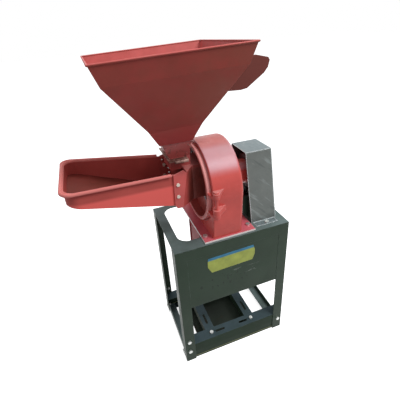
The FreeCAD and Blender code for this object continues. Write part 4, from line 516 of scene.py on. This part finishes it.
hopper_paint = paint("hopper_paint", linear(164, 76, 68), linear(226, 160, 154), 0.5, mottle=0.1,
                     specular=0.15, top_light=INSIDE_LIGHT, top_light_share=1.0, top_light_from=(0.05, 0.3),
                     edge_share=0.3, extra=hopper_tone)
# The scoop's paint is a darker copy of the hopper's: painted shade
scoop_paint = paint("scoop_paint", linear(114, 62, 56), linear(190, 120, 112), 0.5, mottle=0.06,
                    specular=0.1, top_light=INSIDE_LIGHT, top_light_share=0.7, top_light_from=(0.05, 0.3),
                    edge_share=0.35)
tray_paint = paint("tray_paint", linear(192, 88, 82), linear(226, 150, 144), 0.5, mottle=0.1, specular=0.1,
                   edge_share=0.35, extra=tray_rim)
stand_paint = paint("stand_paint", STAND, STAND_EDGE, **STAND_LOOK)
front_paint = paint("front_paint", STAND, STAND_EDGE, extra=front_marks, **STAND_LOOK)
rail_paint = paint("rail_paint", linear(41, 56, 43), STAND_EDGE, 0.42, peel=0.2, mottle=0.12, specular=0.06,
                   edge_share=0.5, top_light=linear(82, 97, 108), top_light_share=0.7, top_light_from=(0.1, 0.6),
                   extra=lit_fold)
sheet_paint = paint("sheet_paint", linear(39, 47, 39), STAND_EDGE, 0.4, peel=0.2, mottle=0.2, specular=0.1,
                    edge_share=0.4, extra=grey_film)
guard_steel = metal("guard_steel", linear(106, 111, 108), 0.42, (1, 1, 0.08), 0.18, linear(98, 102, 98),
                    0.45, edge_wear_and_highlight=linear(226, 234, 236), top_light=linear(128, 142, 146), scratched=True)
zinc = metal("zinc", linear(222, 225, 222), 0.28, metallic=0.7)
bright_zinc = metal("bright_zinc", linear(250, 236, 220), 0.25, metallic=0.0)
mirror_zinc = metal("mirror_zinc", linear(254, 254, 252), 0.2, metallic=0.9)
steel = metal("steel", linear(190, 190, 190), 0.3, (0.1, 1, 1))
iron = metal("iron", linear(92, 92, 94), 0.55, grain=0.3, stain_and_shade=linear(84, 70, 60), metallic=0.7)
gate_steel = metal("gate_steel", linear(176, 140, 128), 0.5, (1, 0.1, 1), 0.3, linear(84, 52, 44), 0.3,
                   (0.42, 0.6))
rubber = metal("rubber", linear(28, 28, 28), 0.7, grain=0.1, metallic=0.0)

SLOT_FINISH = {
    "stand_paint": stand_paint,
    "guard_paint": guard_steel,
    "red_paint": red_paint,
    "hopper_paint": hopper_paint,
    "zinc": zinc,
    "steel": steel,
    "iron": iron,
    "gate_steel": gate_steel,
    "seal_rubber": rubber,
    "sticker_film": sticker_film(),
}
OWN_FINISH = {
    "front_panel": front_paint,
    "bottom_rail_front": rail_paint,
    "bottom_rail_back": rail_paint,
    "motor_rail_left": rail_paint,
    "motor_rail_right": rail_paint,
    "bottom_plate": sheet_paint,
    "base_plate": base_paint,
    "door": door_paint,
    "feed_box": box_paint,
    "discharge_chute": chute_paint,
    "side_scoop": scoop_paint,
    "feed_tray": tray_paint,
    "tray_bolts": bright_zinc,
    "feed_box_bolts": iron,
}


def dress_nodes():
    """Give each CAD node its own finish, or else the finish of its slot."""
    for entry in frame["record"]["subparts"]:
        name = entry["node"]
        finishes = nodes[name].data.materials
        finishes.clear()
        finishes.append(OWN_FINISH.get(name) or SLOT_FINISH[entry["material_slot"]])


# Small pieces that the CAD model leaves out

def piece_of(name, shape, finish):
    """Turn finished mesh code into an object of the scene."""
    mesh = bpy.data.meshes.new(name)
    shape.to_mesh(mesh)
    shape.free()
    mesh.materials.append(finish)
    piece = bpy.data.objects.new(name, mesh)
    bpy.context.scene.collection.objects.link(piece)
    return piece


def add_stub(shape, place, out, segments, back_radius, front_radius, depth):
    """Add a short round or six-sided bar whose middle stands out to the front of a place."""
    middle = Matrix.Translation((place[0], place[1] - out, place[2]))
    bmesh.ops.create_cone(shape, cap_ends=True, segments=segments, radius1=back_radius, radius2=front_radius,
                          depth=depth, matrix=middle @ Matrix.Rotation(math.radians(90), 4, "X"))


def cheek_nuts():
    """Screw the small nuts that show inside the tray's mouth on its far side."""
    for number, place in enumerate(NUT_PLACES):
        shape = bmesh.new()
        add_stub(shape, place, NUT_OUT, 6, NUT_RADIUS, NUT_RADIUS, NUT_DEPTH)
        bmesh.ops.bevel(shape, geom=shape.edges[:], offset=NUT_ROUNDING, segments=2, affect="EDGES")
        add_stub(shape, place, SCREW_OUT, 24, SCREW_RADIUS, SCREW_TIP_RADIUS, SCREW_DEPTH)
        nut = piece_of(f"cheek_nut_{number}", shape, mirror_zinc)
        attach(nut, "door")


def rod_ring(shape, centre, out):
    """Add one ring of points around the rod's middle line."""
    ring = []
    for part in range(ROD_SIDES):
        turn = math.tau * part / ROD_SIDES
        up = Vector((0, 0, ROD_RADIUS * math.sin(turn)))
        ring.append(shape.verts.new(centre + out * ROD_RADIUS * math.cos(turn) + up))
    return ring


def tray_corners():
    """Fill the two far corners between the tray's wall and its rolled rim with a bent rod."""
    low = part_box("feed_tray")[0]
    for number, side in enumerate((1, -1)):
        shape = bmesh.new()
        rings = []
        for step in range(BEND_STEPS + 1):
            turn = math.radians(180 - BEND_ANGLE * step / BEND_STEPS)
            out = Vector((math.cos(turn), side * math.sin(turn), 0))
            centre = Vector((low.x + BEND_X, side * BEND_Y, 0)) + out * BEND_RADIUS
            centre.z = RIM_Z - RIM_SLOPE * (centre.x - low.x - RIM_START)
            rings.append(rod_ring(shape, centre, out))
        for first, second in zip(rings, rings[1:]):
            for part in range(ROD_SIDES):
                after = (part + 1) % ROD_SIDES
                shape.faces.new((first[part], first[after], second[after], second[part])).smooth = True
        shape.faces.new(rings[0])
        shape.faces.new(rings[-1])
        bmesh.ops.recalc_face_normals(shape, faces=shape.faces[:])
        corner = piece_of(f"tray_corner_{number}", shape, tray_paint)
        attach(corner, "door")


# Studio

FLOOR_SIZE = 30
FLOOR_Z = -0.0005
FLOOR_GREY = grey(0.3)
FLOOR_SEEN = grey(0.95)
FLOOR_LIGHT = 0.8
SKY_COLOR = (0.96, 0.98, 1, 1)
SKY_STRENGTH = 0.45
CAMERA_PLACE = (-0.22644, -0.87691, 1.14332)
CAMERA_TURN = (62.117, 3.160, -20.826)


def seen_rays(tree):
    """Pick out the rays that show the background: straight, mirrored or let through."""
    rays = tree.nodes.new("ShaderNodeLightPath").outputs
    seen = rays["Is Camera Ray"]
    for name in ("Is Glossy Ray", "Is Transmission Ray"):
        either = tree.nodes.new("ShaderNodeMath")
        either.operation = "MAXIMUM"
        tree.links.new(seen, either.inputs[0])
        tree.links.new(rays[name], either.inputs[1])
        seen = either.outputs["Value"]
    return seen


def floor():
    """Lay a plain floor that shows white to the camera and keeps the shadow."""
    bpy.ops.mesh.primitive_plane_add(size=FLOOR_SIZE, location=(0, 0, FLOOR_Z))
    plane = bpy.context.object
    plane.name = "floor"
    made, tree, shader = material("floor_pale")
    seen = seen_rays(tree)
    tree.links.new(mix(tree, seen, FLOOR_GREY, FLOOR_SEEN), shader.inputs["Base Color"])
    shader.inputs["Roughness"].default_value = 1.0
    shader.inputs["Specular IOR Level"].default_value = 0.0
    shader.inputs["Emission Color"].default_value = WHITE
    tree.links.new(product(tree, seen, FLOOR_LIGHT), shader.inputs["Emission Strength"])
    plane.data.materials.append(made)


def world():
    """Light the scene evenly from above, and show white behind the object."""
    sky = bpy.data.worlds.new("studio")
    bpy.context.scene.world = sky
    sky.use_nodes = True
    tree = sky.node_tree
    background = tree.nodes["Background"]
    background.inputs["Color"].default_value = SKY_COLOR
    background.inputs["Strength"].default_value = SKY_STRENGTH
    clear = add(tree, "ShaderNodeBackground", Color=WHITE, Strength=1.0)
    chosen = tree.nodes.new("ShaderNodeMixShader")
    tree.links.new(seen_rays(tree), chosen.inputs["Fac"])
    tree.links.new(background.outputs["Background"], chosen.inputs[1])
    tree.links.new(clear.outputs["Background"], chosen.inputs[2])
    tree.links.new(chosen.outputs["Shader"], tree.nodes["World Output"].inputs["Surface"])


def area_light(name, place, target, size, power):
    """Hang a soft square lamp that points at a target."""
    lamp = bpy.data.lights.new(name, "AREA")
    lamp.shape = "SQUARE"
    lamp.size = size
    lamp.energy = power
    held = bpy.data.objects.new(name, lamp)
    bpy.context.scene.collection.objects.link(held)
    held.location = place
    held.rotation_euler = (Vector(target) - Vector(place)).to_track_quat("-Z", "Y").to_euler()


def camera():
    """Stand the camera where the photograph was taken, as fitted to the stand and hopper."""
    lens = bpy.data.cameras.new("camera")
    lens.sensor_width = 36
    lens.lens = 28.23
    lens.shift_x = -0.004
    lens.shift_y = -0.0366
    held = bpy.data.objects.new("camera", lens)
    bpy.context.scene.collection.objects.link(held)
    held.location = CAMERA_PLACE
    held.rotation_euler = Euler([math.radians(turn) for turn in CAMERA_TURN], "XYZ")
    bpy.context.scene.camera = held


dress_nodes()
cheek_nuts()
tray_corners()
floor()
world()
area_light("key", (1.0, -1.2, 2.5), (0, 0, 0.8), size=1.0, power=36)
area_light("back_top", (0.2, 0.9, 2.8), (0, 0, 0.9), size=1.6, power=18)
camera()
bpy.context.scene.view_settings.view_transform = "Standard"
